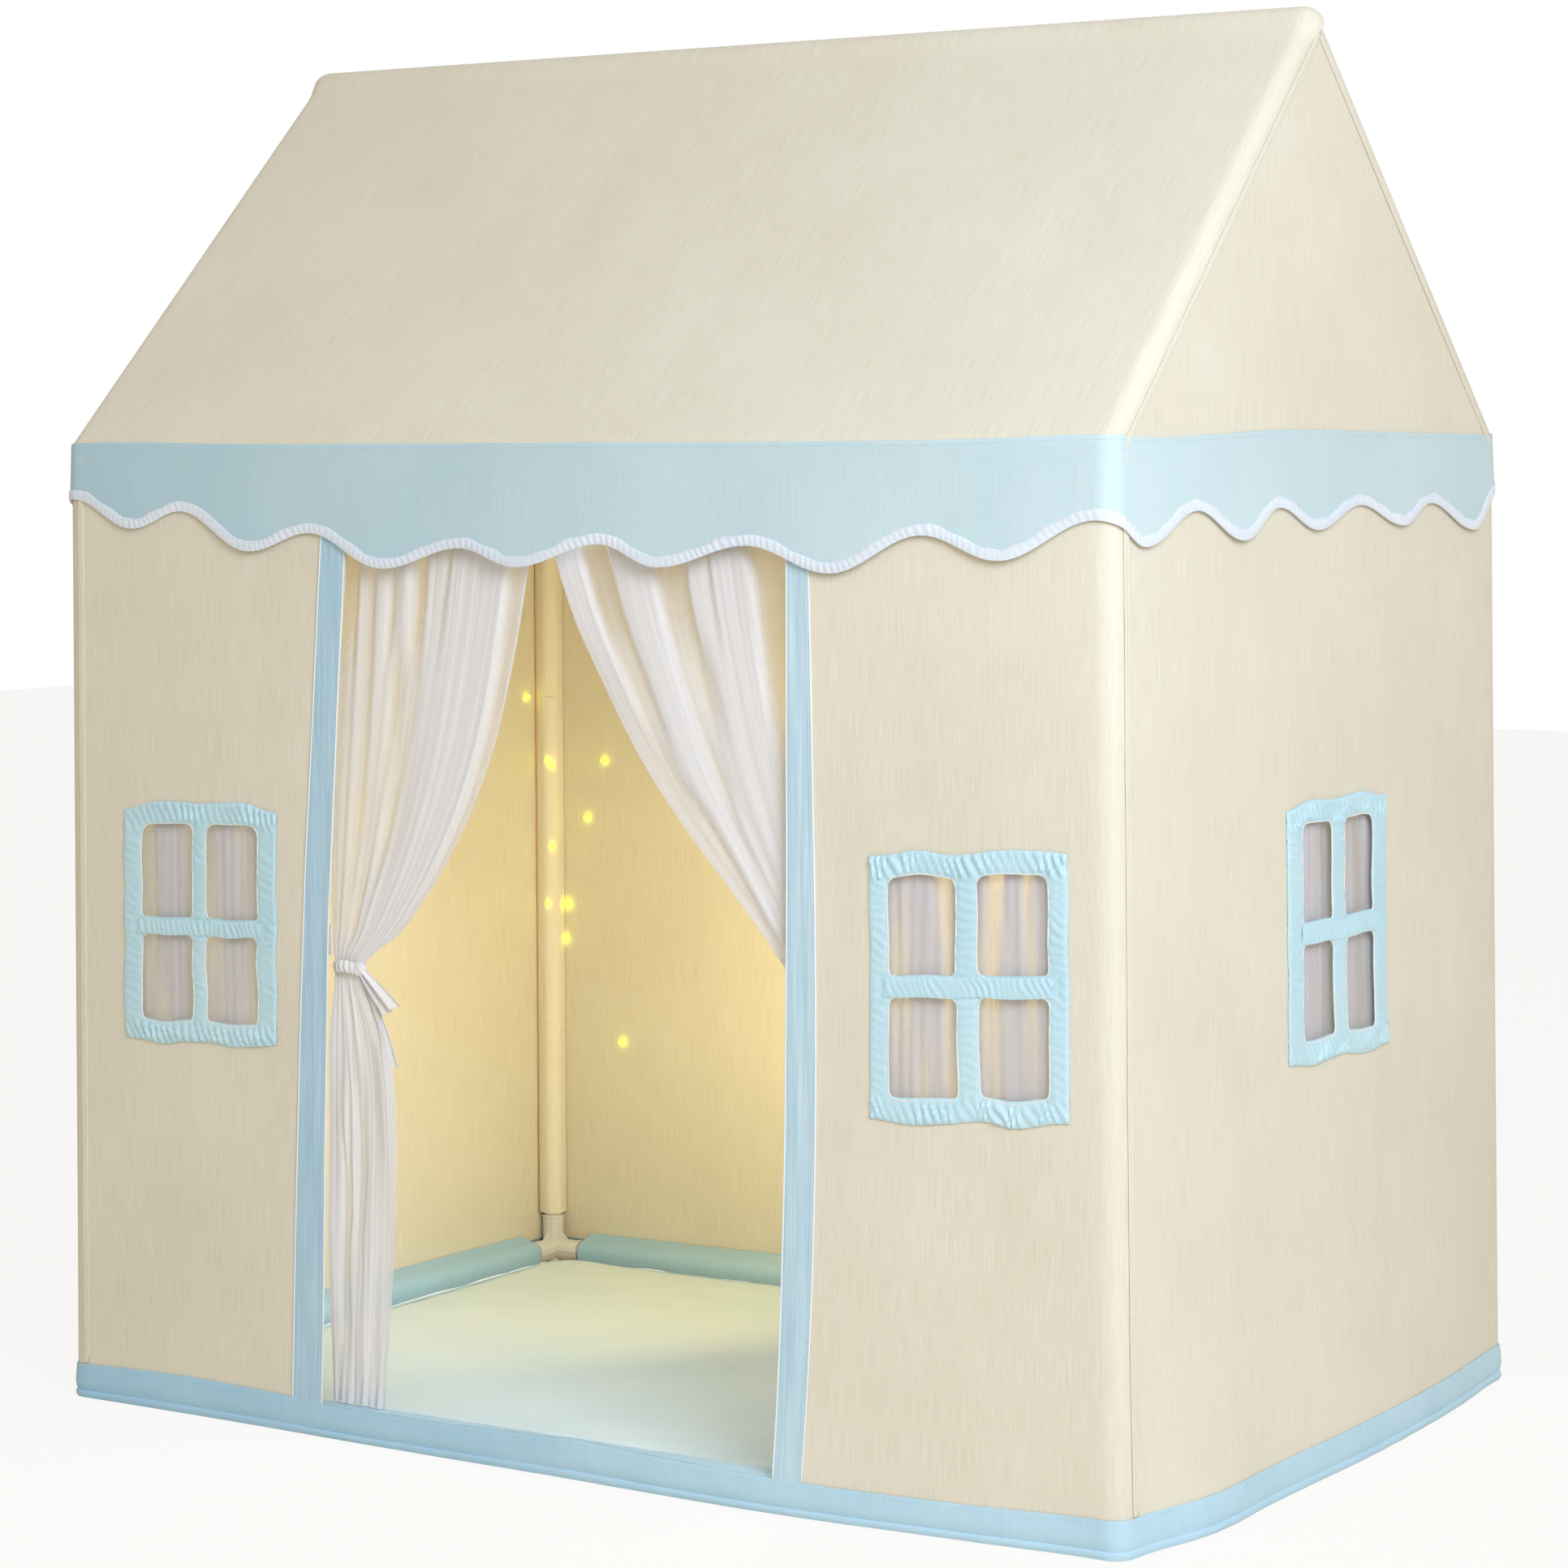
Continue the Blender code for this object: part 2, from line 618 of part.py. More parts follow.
def add_window(name, wall, place, width, height, blue, tulle):
    """Cut four panes in a wall, and add the band frame outside and the gathered sheer inside.

    place turns (along, depth behind the wall's face, up) about the window's centre into a point.
    """
    across, up = window_lines(width, height)
    panes = [(across[i] - PANE_TURN, across[i + 1] + PANE_TURN, up[j] - PANE_TURN, up[j + 1] + PANE_TURN)
             for i in (1, 3) for j in (1, 3)]
    cutter = bmesh.new()
    for left, right, bottom, top in panes:
        rows = [[[place(u, d, w) for u in (left, right)] for w in (bottom, top)]
                for d in (-CANVAS, 2 * CANVAS)]
        add_sheet_faces(cutter, rows[0], rows[1])
    boolean(wall, add_object(f"{name}_panes", cutter, blue), "DIFFERENCE")
    add_lattice(f"{name}_frame", across, up, place, blue)
    grids = []
    run = width / 2 - SHEER_MARGIN
    rise = height / 2 - SHEER_MARGIN
    columns = SHEER_FOLDS * SHEER_STEPS
    for cloth in (0, SHEER_CLOTH):
        grid = []
        for row in range(SHEER_ROWS + 1):
            w = -rise + 2 * rise * row / SHEER_ROWS
            depths = [SHEER_FOLD_DEPTH * (1 - cos(2 * pi * SHEER_FOLDS * c / columns)) / 2
                      for c in range(columns + 1)]
            grid.append([place(-run + 2 * run * c / columns, CANVAS + GAP + cloth + depths[c], w)
                         for c in range(columns + 1)])
        grids.append(grid)
    add_sheet(f"{name}_sheer", grids[0], grids[1], tulle)


def add_lattice(name, across, up, place, material):
    """A flat frame with a cross: a band all round and two muntins, open at its four panes."""
    bm = bmesh.new()
    layers = []
    for depth in (-GAP - BAND, -GAP):
        layers.append([[bm.verts.new(place(u, depth, w)) for u in across] for w in up])
    pane_cells = {(i, j) for i in (1, 3) for j in (1, 3)}
    cells = {(i, j) for i in range(5) for j in range(5)} - pane_cells
    for i, j in cells:
        for layer in layers:
            bm.faces.new((layer[j][i], layer[j][i + 1], layer[j + 1][i + 1], layer[j + 1][i]))
        borders = {(i - 1, j): ((i, j), (i, j + 1)), (i + 1, j): ((i + 1, j), (i + 1, j + 1)),
                   (i, j - 1): ((i, j), (i + 1, j)), (i, j + 1): ((i, j + 1), (i + 1, j + 1))}
        for neighbour, ((i0, j0), (i1, j1)) in borders.items():
            if neighbour not in cells:
                bm.faces.new((layers[0][j0][i0], layers[0][j1][i1], layers[1][j1][i1], layers[1][j0][i0]))
    add_object(name, bm, material)


def build_windows(walls, blue, tulle):
    """Two windows in the front and one in the right end wall."""
    for side, centre in (("left", FRONT_WINDOW_LEFT), ("right", FRONT_WINDOW_RIGHT)):
        def place(along_wall, depth, up, centre=centre):
            return (centre + along_wall, depth - DEPTH / 2, FRONT_WINDOW_CENTRE_HEIGHT + up)
        add_window(f"front_{side}_window", walls[f"front_wall_{side}"], place,
                   FRONT_WINDOW_WIDTH, FRONT_WINDOW_HEIGHT, blue, tulle)

    def place_on_end(along_wall, depth, up):
        return (WIDTH / 2 - depth, SIDE_WINDOW_CENTRE + along_wall, SIDE_WINDOW_CENTRE_HEIGHT + up)
    add_window("end_window", walls["end_wall_right"], place_on_end, SIDE_WINDOW_WIDTH, SIDE_WINDOW_HEIGHT,
               blue, tulle)


# Curtains

def curtain_edges(side, z):
    """Outer and inner edge of a curtain at a height, drawn in to the waist and out to the skirt."""
    sx = SIDES[side]
    waist = LEFT_WAIST if side == "left" else RIGHT_WAIST
    skirt = LEFT_SKIRT if side == "left" else RIGHT_SKIRT
    power = LEFT_SWEEP if side == "left" else RIGHT_SWEEP
    waist_outer = waist + sx * WAIST_WIDTH / 2
    waist_inner = waist - sx * WAIST_WIDTH / 2
    if z >= WAIST_HEIGHT:
        share = max(0, z - WAIST_HEIGHT - WAIST_HALF) / (CURTAIN_AXIS_Z - WAIST_HEIGHT - WAIST_HALF)
        top_outer = door_edge(side, CURTAIN_AXIS_Z) + sx * CURTAIN_BEHIND_JAMB
        top_inner = CURTAIN_MEETING + sx * CURTAIN_PARTING / 2
        outer = waist_outer + (top_outer - waist_outer) * share
        inner = waist_inner + (top_inner - waist_inner) * (1 - (1 - share) ** power)
        return outer, inner
    share = max(0, WAIST_HEIGHT - WAIST_HALF - z) / (WAIST_HEIGHT - WAIST_HALF - CURTAIN_BOTTOM)
    flare = 1 - (1 - share) ** SKIRT_POWER
    outer = waist_outer + sx * SKIRT_OUTSET * flare
    inner = waist_inner - sx * (skirt - WAIST_WIDTH - SKIRT_OUTSET) * flare
    return outer, inner


def curtain_rows():
    """Heights of the curtain's rows, closer together at the heading and round the waist."""
    heading = CURTAIN_AXIS_Z - CURTAIN_HEADING
    drop = heading - WAIST_HEIGHT - WAIST_HALF
    skirt_top = WAIST_HEIGHT - WAIST_HALF
    rows = [CURTAIN_AXIS_Z]
    for i in range(CURTAIN_ROWS_ABOVE + 1):
        rows.append(heading - drop * sin(pi / 2 * i / CURTAIN_ROWS_ABOVE))
    for i in range(CURTAIN_ROWS_BELOW + 1):
        share = (i / CURTAIN_ROWS_BELOW) ** CURTAIN_ROW_POWER
        rows.append(skirt_top - (skirt_top - CURTAIN_BOTTOM) * share)
    return rows


def curtain_shape(z):
    """Set-back from the wall, fold depth and cloth depth of a curtain at a height."""
    near_waist = exp(-(max(0, abs(z - WAIST_HEIGHT) - WAIST_HALF) / WAIST_BLEND) ** 2)
    heading = min(1, (CURTAIN_AXIS_Z - z) / CURTAIN_HEADING)
    set_back = WAIST_SET_BACK * near_waist
    fold = (CURTAIN_FOLD_DEPTH + (WAIST_FOLD_DEPTH - CURTAIN_FOLD_DEPTH) * near_waist) * heading
    cloth = CURTAIN_CLOTH + (WAIST_CLOTH - CURTAIN_CLOTH) * near_waist
    return set_back, fold, cloth


def add_curtain(side, tulle, axis):
    """A gathered sheer with its main folds, hung from its heading behind the door header."""
    columns = CURTAIN_FOLDS * CURTAIN_FOLD_STEPS
    front, back = [], []
    for z in curtain_rows():
        outer, inner = curtain_edges(side, z)
        set_back, fold, cloth = curtain_shape(z)
        face = CURTAIN_AXIS_Y - CURTAIN_CLOTH / 2 + set_back
        front_row, back_row = [], []
        for c in range(columns + 1):
            x = outer + (inner - outer) * c / columns
            y = face + fold * (1 - cos(2 * pi * c / CURTAIN_FOLD_STEPS))
            front_row.append((x, y, z))
            back_row.append((x, y + cloth, z))
        front.append(front_row)
        back.append(back_row)
    add_sheet(f"{side}_curtain", front, back, tulle, origin=axis.location, parent=axis)


def rounded_outline(half_x, half_y, corner, centre, z):
    """A rectangle with round corners, as a ring of points."""
    points = []
    for quarter, (sx, sy) in enumerate(((1, 1), (-1, 1), (-1, -1), (1, -1))):
        for i in range(TIE_CORNER_STEPS + 1):
            angle = pi / 2 * (quarter + i / TIE_CORNER_STEPS)
            points.append(Vector((centre[0] + sx * (half_x - corner) + corner * cos(angle),
                                  centre[1] + sy * (half_y - corner) + corner * sin(angle), z)))
    return points


def add_tie(side, tulle, axis):
    """A ribbon round the waist, knotted on its right, with one loose end that hangs beside the skirt."""
    waist = LEFT_WAIST if side == "left" else RIGHT_WAIST
    face = CURTAIN_AXIS_Y - CURTAIN_CLOTH / 2 + WAIST_SET_BACK
    depth = 2 * WAIST_FOLD_DEPTH + WAIST_CLOTH
    centre = (waist, face + depth / 2)
    inner_x = WAIST_WIDTH / 2 + TIE_EASE
    inner_y = depth / 2 + TIE_EASE
    low = WAIST_HEIGHT - TIE_HEIGHT / 2
    high = WAIST_HEIGHT + TIE_HEIGHT / 2
    outer_x, outer_y, outer_corner = (size + TIE_CLOTH for size in (inner_x, inner_y, TIE_EASE))
    rings = [rounded_outline(inner_x, inner_y, TIE_EASE, centre, low),
             rounded_outline(outer_x, outer_y, outer_corner, centre, low),
             rounded_outline(outer_x, outer_y, outer_corner, centre, high),
             rounded_outline(inner_x, inner_y, TIE_EASE, centre, high)]
    bm = bmesh.new()
    add_turned_faces(bm, rings, Matrix.Identity(4), closed=False)
    tie = add_object(f"{side}_tie", bm, tulle, origin=axis.location, parent=axis)
    knot_at = Vector((waist + inner_x + TIE_KNOT, centre[1], WAIST_HEIGHT))
    knot = bmesh.new()
    bmesh.ops.create_icosphere(knot, subdivisions=1, radius=TIE_KNOT, matrix=Matrix.Translation(knot_at))
    boolean(tie, add_object(f"{side}_tie_knot", knot, tulle), "UNION")
    grids = [[], []]
    for i in range(TIE_TAIL_STEPS + 1):
        share = i / TIE_TAIL_STEPS
        z = knot_at.z - TIE_TAIL_LENGTH * share
        half = TIE_KNOT / 2 * (1 - share) + TIE_TAIL_WIDTH / 2 * share
        x = max(curtain_edges(side, z)) + half + TIE_TAIL_CLEARANCE
        for grid, offset in zip(grids, (-TIE_TAIL_CLOTH / 2, TIE_TAIL_CLOTH / 2)):
            ripple = [(x - half, 0), (x, TIE_TAIL_RIPPLE * share), (x + half, 0)]
            grid.append([(px, knot_at.y + py + offset, z) for px, py in ripple])
    tail = bmesh.new()
    add_sheet_faces(tail, grids[0], grids[1])
    boolean(tie, add_object(f"{side}_tie_tail", tail, tulle), "UNION")


def build_curtains(tulle):
    """Curtains and their ties turn about the sewn heading; the tabs stay on the jambs."""
    for side, sx in SIDES.items():
        axis = add_axis(f"{side}_curtain_axis", (0, CURTAIN_AXIS_Y, CURTAIN_AXIS_Z))
        add_curtain(side, tulle, axis)
        add_tie(side, tulle, axis)
        bottom = WAIST_HEIGHT + TIE_HEIGHT / 2 + TIE_CLOTH
        middle = door_edge(side, bottom) + sx * TAB_FROM_DOOR
        face = -DEPTH / 2 + CANVAS + GAP
        low = (middle - TAB_WIDTH / 2, face, bottom)
        high = (middle + TAB_WIDTH / 2, face + TAB_CLOTH, bottom + TAB_LENGTH)
        bm = bmesh.new()
        add_box_faces(bm, low, high)
        add_object(f"{side}_tie_tab", bm, tulle)


# Floor mat

def build_mat(mat_cloth):
    """A loose padded mat with a low crown and thin sewn edges."""
    half_x = POST_X - RIM_RADIUS - MAT_SIDE_CLEARANCE
    front = RIM_RADIUS + MAT_FRONT_CLEARANCE - POST_Y
    back = POST_Y - RIM_RADIUS - MAT_BACK_CLEARANCE
    centre_y = (front + back) / 2
    half_y = (back - front) / 2
    axis = add_axis("floor_mat_axis", (0, centre_y, 0))
    top, bottom = [], []
    for row in range(MAT_ROWS + 1):
        v = sin(pi / 2 * (2 * row / MAT_ROWS - 1))
        top_row, bottom_row = [], []
        for column in range(MAT_COLUMNS + 1):
            u = sin(pi / 2 * (2 * column / MAT_COLUMNS - 1))
            crown = (1 - abs(u) ** MAT_CORNER_POWER) * (1 - abs(v) ** MAT_CORNER_POWER)
            x, y = half_x * u, centre_y + half_y * v
            top_row.append((x, y, MAT_EDGE + (MAT_THICKNESS - MAT_EDGE) * crown))
            bottom_row.append((x, y, 0))
        top.append(top_row)
        bottom.append(bottom_row)
    add_sheet("floor_mat", top, bottom, mat_cloth, origin=axis.location, parent=axis)


for leftover in list(bpy.data.objects):
    bpy.data.objects.remove(leftover)

white_plastic = make_material("white_fitting_plastic", (0.86, 0.86, 0.84), 0.45)
tube_plastic = make_material("cream_tube_plastic", (0.82, 0.80, 0.74), 0.40)
cream_canvas = make_material("cream_canvas", (0.73, 0.68, 0.57), 0.90)
blue_cotton = make_material("blue_cotton", (0.47, 0.67, 0.75), 0.90)
white_tulle = make_material("white_tulle", (0.80, 0.79, 0.82), 0.80)
mat_cotton = make_material("mat_cotton", (0.52, 0.73, 0.79), 0.90)

build_frame(white_plastic, tube_plastic)
cut_walls = build_walls(cream_canvas)
build_roof(cream_canvas)
build_hem(blue_cotton)
build_valance(blue_cotton)
build_door_trims(blue_cotton)
build_windows(cut_walls, blue_cotton, white_tulle)
build_curtains(white_tulle)
build_mat(mat_cotton)
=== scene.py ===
import itertools
import json
import math

import bpy
import numpy as np
from mathutils import Matrix, Vector

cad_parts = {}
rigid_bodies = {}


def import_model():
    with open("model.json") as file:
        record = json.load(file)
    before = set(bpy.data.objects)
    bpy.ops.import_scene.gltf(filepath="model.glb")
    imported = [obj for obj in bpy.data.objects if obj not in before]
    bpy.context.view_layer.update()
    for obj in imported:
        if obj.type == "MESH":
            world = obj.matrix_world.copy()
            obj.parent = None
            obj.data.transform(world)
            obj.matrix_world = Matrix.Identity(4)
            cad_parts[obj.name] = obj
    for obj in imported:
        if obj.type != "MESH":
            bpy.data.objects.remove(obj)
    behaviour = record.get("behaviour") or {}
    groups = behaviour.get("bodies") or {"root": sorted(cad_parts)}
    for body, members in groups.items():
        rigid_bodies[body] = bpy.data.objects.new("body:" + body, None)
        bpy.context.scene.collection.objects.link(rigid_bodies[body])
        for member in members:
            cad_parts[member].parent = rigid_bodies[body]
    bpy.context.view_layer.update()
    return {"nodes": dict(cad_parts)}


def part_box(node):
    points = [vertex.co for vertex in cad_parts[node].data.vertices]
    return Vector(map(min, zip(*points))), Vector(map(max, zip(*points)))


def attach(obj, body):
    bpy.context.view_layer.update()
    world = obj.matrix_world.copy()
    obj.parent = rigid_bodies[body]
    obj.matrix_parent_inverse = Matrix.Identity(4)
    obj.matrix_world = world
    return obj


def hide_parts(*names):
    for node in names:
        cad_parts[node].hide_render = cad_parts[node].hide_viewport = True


for leftover in list(bpy.data.objects):
    bpy.data.objects.remove(leftover, do_unlink=True)
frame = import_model()
scene = bpy.context.scene
scene.view_settings.view_transform = "Standard"

# Camera. It stands in front of the right front corner, level, a little above half the tent's height,
# and a long lens with its frame shifted down takes in the whole tent.
CAMERA_PLACE = (2.2846, -3.5375, 0.9644)
CAMERA_TURN = math.radians(32.95)
CAMERA_ROLL = math.radians(-0.422)


def add_to_scene(name, data):
    """A new object of the scene that shows the data."""
    holder = bpy.data.objects.new(name, data)
    scene.collection.objects.link(holder)
    return holder


camera = add_to_scene("camera", bpy.data.cameras.new("camera"))
level = Vector((math.cos(CAMERA_TURN), math.sin(CAMERA_TURN), 0.0))
ahead = Vector((-math.sin(CAMERA_TURN), math.cos(CAMERA_TURN), 0.0))
upright = Vector((0.0, 0.0, 1.0))
right = level * math.cos(CAMERA_ROLL) + upright * math.sin(CAMERA_ROLL)
above = upright * math.cos(CAMERA_ROLL) - level * math.sin(CAMERA_ROLL)
turned = Matrix((right, above, -ahead)).transposed().to_4x4()
camera.matrix_world = Matrix.Translation(CAMERA_PLACE) @ turned
camera.data.lens = 95.174
camera.data.sensor_width = 36.0
camera.data.shift_x = 0.00435
camera.data.shift_y = -0.2216
camera.data.clip_end = 60.0
scene.camera = camera

# Daylight. An even pale sky all round, a broad lamp to the right of the front corner, and inside the tent a small
# warm one that lights its far corner and a pale one over the mat. The floor is pale and keeps the tent's shadow.


def feed(tree, node, takes):
    """Sets inputs of a node: each takes a value or the output of another node."""
    for socket, value in takes.items():
        if isinstance(value, bpy.types.NodeSocket):
            tree.links.new(value, node.inputs[socket])
        else:
            node.inputs[socket].default_value = value


def node_maker(tree, family="ShaderNode"):
    """A function that adds a node to the tree, sets it up, feeds its inputs and gives one of its outputs."""

    def make(kind, gives, takes=(), **settings):
        node = tree.nodes.new(family + kind)
        for setting, value in settings.items():
            setattr(node, setting, value)
        feed(tree, node, dict(takes))
        return node.outputs[gives]

    return make


def reckon(node, operation, *terms):
    """A number that a maths node works out of others."""
    return node("Math", 0, dict(enumerate(terms)), operation=operation)


sky = bpy.data.worlds.new("sky")
sky.use_nodes = True
scene.world = sky
sky.node_tree.nodes.clear()
node = node_maker(sky.node_tree)
path = sky.node_tree.nodes.new("ShaderNodeLightPath").outputs
fill = node("Background", 0, {"Color": (1.0, 0.955, 0.81, 1.0), "Strength": 0.575})
white = node("Background", 0, {"Color": (1.0, 1.0, 1.0, 1.0), "Strength": 1.0})
seen = reckon(node, "MAXIMUM", path["Is Camera Ray"], path["Is Glossy Ray"])
seen = reckon(node, "MAXIMUM", seen, path["Is Transmission Ray"])
sky_light = node("MixShader", 0, {0: seen, 1: fill, 2: white})
feed(sky.node_tree, sky.node_tree.nodes.new("ShaderNodeOutputWorld"), {0: sky_light})


def lamp(name, place, target, size, power, colour):
    """A square area lamp that looks at a point and isn't seen itself."""
    light = bpy.data.lights.new(name, "AREA")
    light.shape = "SQUARE"
    light.size = size
    light.energy = power
    light.color = colour
    holder = add_to_scene(name, light)
    holder.location = place
    holder.rotation_euler = (Vector(target) - Vector(place)).to_track_quat("-Z", "Y").to_euler()
    holder.visible_camera = False


lamp("broad_lamp", (2.35, -1.95, 2.0), (0.0, 0.0, 0.75), 1.3, 70.0, (0.76, 0.86, 1.0))
lamp("inside_lamp", (0.04, 0.02, 0.38), (-0.57, 0.39, 0.60), 0.22, 2.35, (1.0, 0.765, 0.28))
lamp("ceiling_lamp", (0.05, -0.12, 0.86), (0.0, -0.16, 0.0), 0.42, 1.75, (0.86, 0.94, 1.0))

FLOOR_REACH = 9
FLOOR_GLOW = 0.86
floor_mesh = bpy.data.meshes.new("floor")
floor_corners = [(x * FLOOR_REACH, y * FLOOR_REACH, 0) for x, y in ((-1, -1), (1, -1), (1, 1), (-1, 1))]
floor_mesh.from_pydata(floor_corners, [], [(0, 1, 2, 3)])
floor = add_to_scene("floor", floor_mesh)
pale_floor = bpy.data.materials.new("pale_floor")
pale_floor.use_nodes = True
floor_tree = pale_floor.node_tree
floor_tree.nodes.clear()
node = node_maker(floor_tree)
share = reckon(node, "MULTIPLY", node("LightPath", "Is Camera Ray"), FLOOR_GLOW)
plain = node("BsdfDiffuse", 0, {"Color": (0.88, 0.80, 0.68, 1.0)})
floor_shade = node("MixShader", 0, {0: share, 1: plain, 2: node("Emission", 0)})
feed(floor_tree, floor_tree.nodes.new("ShaderNodeOutputMaterial"), {0: floor_shade})
floor_mesh.materials.append(pale_floor)

# Push-fit frame. Seventeen white plastic tubes of 20 mm and ten moulded corner fittings. The tubes keep their
# CAD shape; each is mottled plastic with a fine skin, and the posts have bands of hook-and-loop tape.
STRAP_MIDDLES = (0.3170, 0.6275)
STRAP_REACH = 0.0342


def new_finish(name):
    """A new material: itself, a maker of its nodes, and a function that feeds its shader."""
    finish = bpy.data.materials.new(name)
    finish.use_nodes = True
    tree = finish.node_tree
    return finish, node_maker(tree), lambda takes: feed(tree, tree.nodes["Principled BSDF"], takes)


def blend(node, share, first, second, way="MIX"):
    """Mixes two colours, each a colour or the output of a node."""
    first, second = (c if isinstance(c, bpy.types.NodeSocket) else (*c, 1.0) for c in (first, second))
    return node("Mix", "Result", {"Factor": share, "A": first, "B": second}, data_type="RGBA", blend_type=way)


def moulded_plastic(name, pale, deep, gloss, grain, straps=False):
    """Plastic with soft mottling and a fine skin. With straps, the bands of hook-and-loop on the posts are cloth."""
    plastic, node, shade = new_finish(name)
    where = node("TexCoord", "Object")
    mottle = node("TexNoise", "Fac", {"Vector": where, "Scale": 38.0, "Detail": 3.0})
    skin = node("TexNoise", "Fac", {"Vector": where, "Scale": grain, "Detail": 2.0})
    colour = blend(node, mottle, deep, pale)
    rough = node("MapRange", "Result", {"Value": skin, "To Min": gloss - 0.06, "To Max": gloss + 0.10})
    if straps:
        height = node("SeparateXYZ", "Z", {"Vector": where})
        bands = [reckon(node, "COMPARE", height, middle, STRAP_REACH) for middle in STRAP_MIDDLES]
        banded = reckon(node, "MAXIMUM", *bands)
        fibres = node("TexNoise", "Fac", {"Vector": where, "Scale": 900.0})
        felt = blend(node, fibres, (0.66, 0.56, 0.44), (0.86, 0.79, 0.68))
        colour = blend(node, banded, colour, felt)
        rough = reckon(node, "MAXIMUM", reckon(node, "MULTIPLY", banded, 0.92), rough)
    bump = node("Bump", "Normal", {"Height": skin, "Strength": 0.25, "Distance": 0.0003})
    shade({"Base Color": colour, "Roughness": rough, "Normal": bump})
    return plastic


tube_plastic = moulded_plastic("tube_plastic", (0.84, 0.83, 0.80), (0.76, 0.75, 0.72), 0.38, 420.0)
post_plastic = moulded_plastic("post_plastic", (0.84, 0.83, 0.80), (0.76, 0.75, 0.72), 0.38, 420.0, True)
fitting_plastic = moulded_plastic("fitting_plastic", (0.80, 0.80, 0.79), (0.72, 0.72, 0.71), 0.46, 900.0)
for node_name, solid in frame["nodes"].items():
    if node_name.startswith("post_"):
        plastic = post_plastic
    elif node_name.startswith(("base_rail_", "eave_rail_", "rafter_", "ridge_pole")):
        plastic = tube_plastic
    elif "_fitting_" in node_name:
        plastic = fitting_plastic
    else:
        continue
    solid.data.materials.clear()
    solid.data.materials.append(plastic)

# Cover, walls. Five panels of cream cotton canvas sewn one after the other round the posts, each wrapping a
# corner and ending in a felled seam just past it. They hang from the eave and are gathered in at the hem.
POST_X = 0.58474
POST_Y = 0.39474
WRAP = 0.01526
QUARTER = math.pi * WRAP / 2
AROUND = 4 * (POST_X + POST_Y + QUARTER)
RIGHT_START = POST_X + QUARTER
BACK_START = RIGHT_START + 2 * POST_Y + QUARTER
LEFT_START = BACK_START + 2 * POST_X + QUARTER
CANVAS = 0.0008
WALL_FOOT = 0.026
WALL_TOP = 0.9475
DOOR_LEFT = (
    (0.0, -0.2725), (0.03, -0.272), (0.26, -0.270), (0.48, -0.264), (0.63, -0.256), (0.86, -0.238), (0.96, -0.231),
)
DOOR_RIGHT = ((0.0, 0.257), (0.23, 0.260), (0.46, 0.264), (0.70, 0.266), (0.96, 0.268))


def on_front(x):
    """How far round the cover, from the middle of the front, a place of the front wall lies."""
    return x


def on_right(y):
    """The same for a place of the right end wall."""
    return RIGHT_START + POST_Y + y


def on_back(x):
    """The same for a place of the back wall."""
    return BACK_START + POST_X - x


def on_left(y):
    """The same for a place of the left end wall."""
    return LEFT_START + POST_Y - y


def together(*parts):
    """Joins arrays, spread to one shape, into an array of points."""
    return np.stack(np.broadcast_arrays(*parts), axis=-1)


def between(first, final, share):
    """What lies between two things, at a share of the way from the first to the final one."""
    return first * (1 - share) + final * share


def summed(lengths):
    """Adds lengths up, from nought."""
    return np.concatenate(((0.0,), np.cumsum(lengths)))


def way_along(line):
    """How far along a line each of its points lies."""
    return summed(np.linalg.norm(np.diff(line, axis=0), axis=1))


def smooth_line(x, points):
    """A smooth line through measured points, at the places x."""
    knots = np.array(points, float)
    at, value = knots[:, 0], knots[:, 1]
    slope = np.gradient(value, at)
    spot = np.clip(np.searchsorted(at, x) - 1, 0, len(at) - 2)
    gap = at[spot + 1] - at[spot]
    t = np.clip((x - at[spot]) / gap, 0.0, 1.0)
    start = value[spot] * (2 * t**3 - 3 * t**2 + 1) + slope[spot] * gap * (t**3 - 2 * t**2 + t)
    end = value[spot + 1] * (3 * t**2 - 2 * t**3) + slope[spot + 1] * gap * (t**3 - t**2)
    return start + end


def ripple(u, v, seed, length):
    """Even, repeatable unevenness between about -1 and 1, in lumps of about the given length."""
    chance = np.random.default_rng(seed)
    total = np.zeros(np.broadcast(u, v).shape)
    for _ in range(9):
        angle, phase = chance.uniform(0, 2 * math.pi, 2)
        pitch = length * chance.uniform(0.7, 1.6)
        total = total + np.sin((u * math.cos(angle) + v * math.sin(angle)) * 2 * math.pi / pitch + phase)
    return total / 4.5


def outline(s):
    """The place of the cover's outside in plan at the distance s round it, and the way that it faces."""
    s = np.mod(np.asarray(s, float), AROUND)
    x, y, facing = s, np.full(s.shape, -(POST_Y + WRAP)), np.full(s.shape, -math.pi / 2)
    for start, post_x, post_y, quarters in (
        (RIGHT_START, POST_X, -POST_Y, 0), (BACK_START, POST_X, POST_Y, 1),
        (LEFT_START, -POST_X, POST_Y, 2), (AROUND - POST_X, -POST_X, -POST_Y, 3),
    ):
        here = s >= start - QUARTER
        way = quarters * math.pi / 2
        turn = way + np.minimum((s - start) / WRAP, 0.0)
        past = np.maximum(s - start, 0.0)
        x = np.where(here, post_x + WRAP * np.cos(turn) - past * math.sin(way), x)
        y = np.where(here, post_y + WRAP * np.sin(turn) + past * math.cos(way), y)
        facing = np.where(here, turn, facing)
    return x, y, np.cos(facing), np.sin(facing)


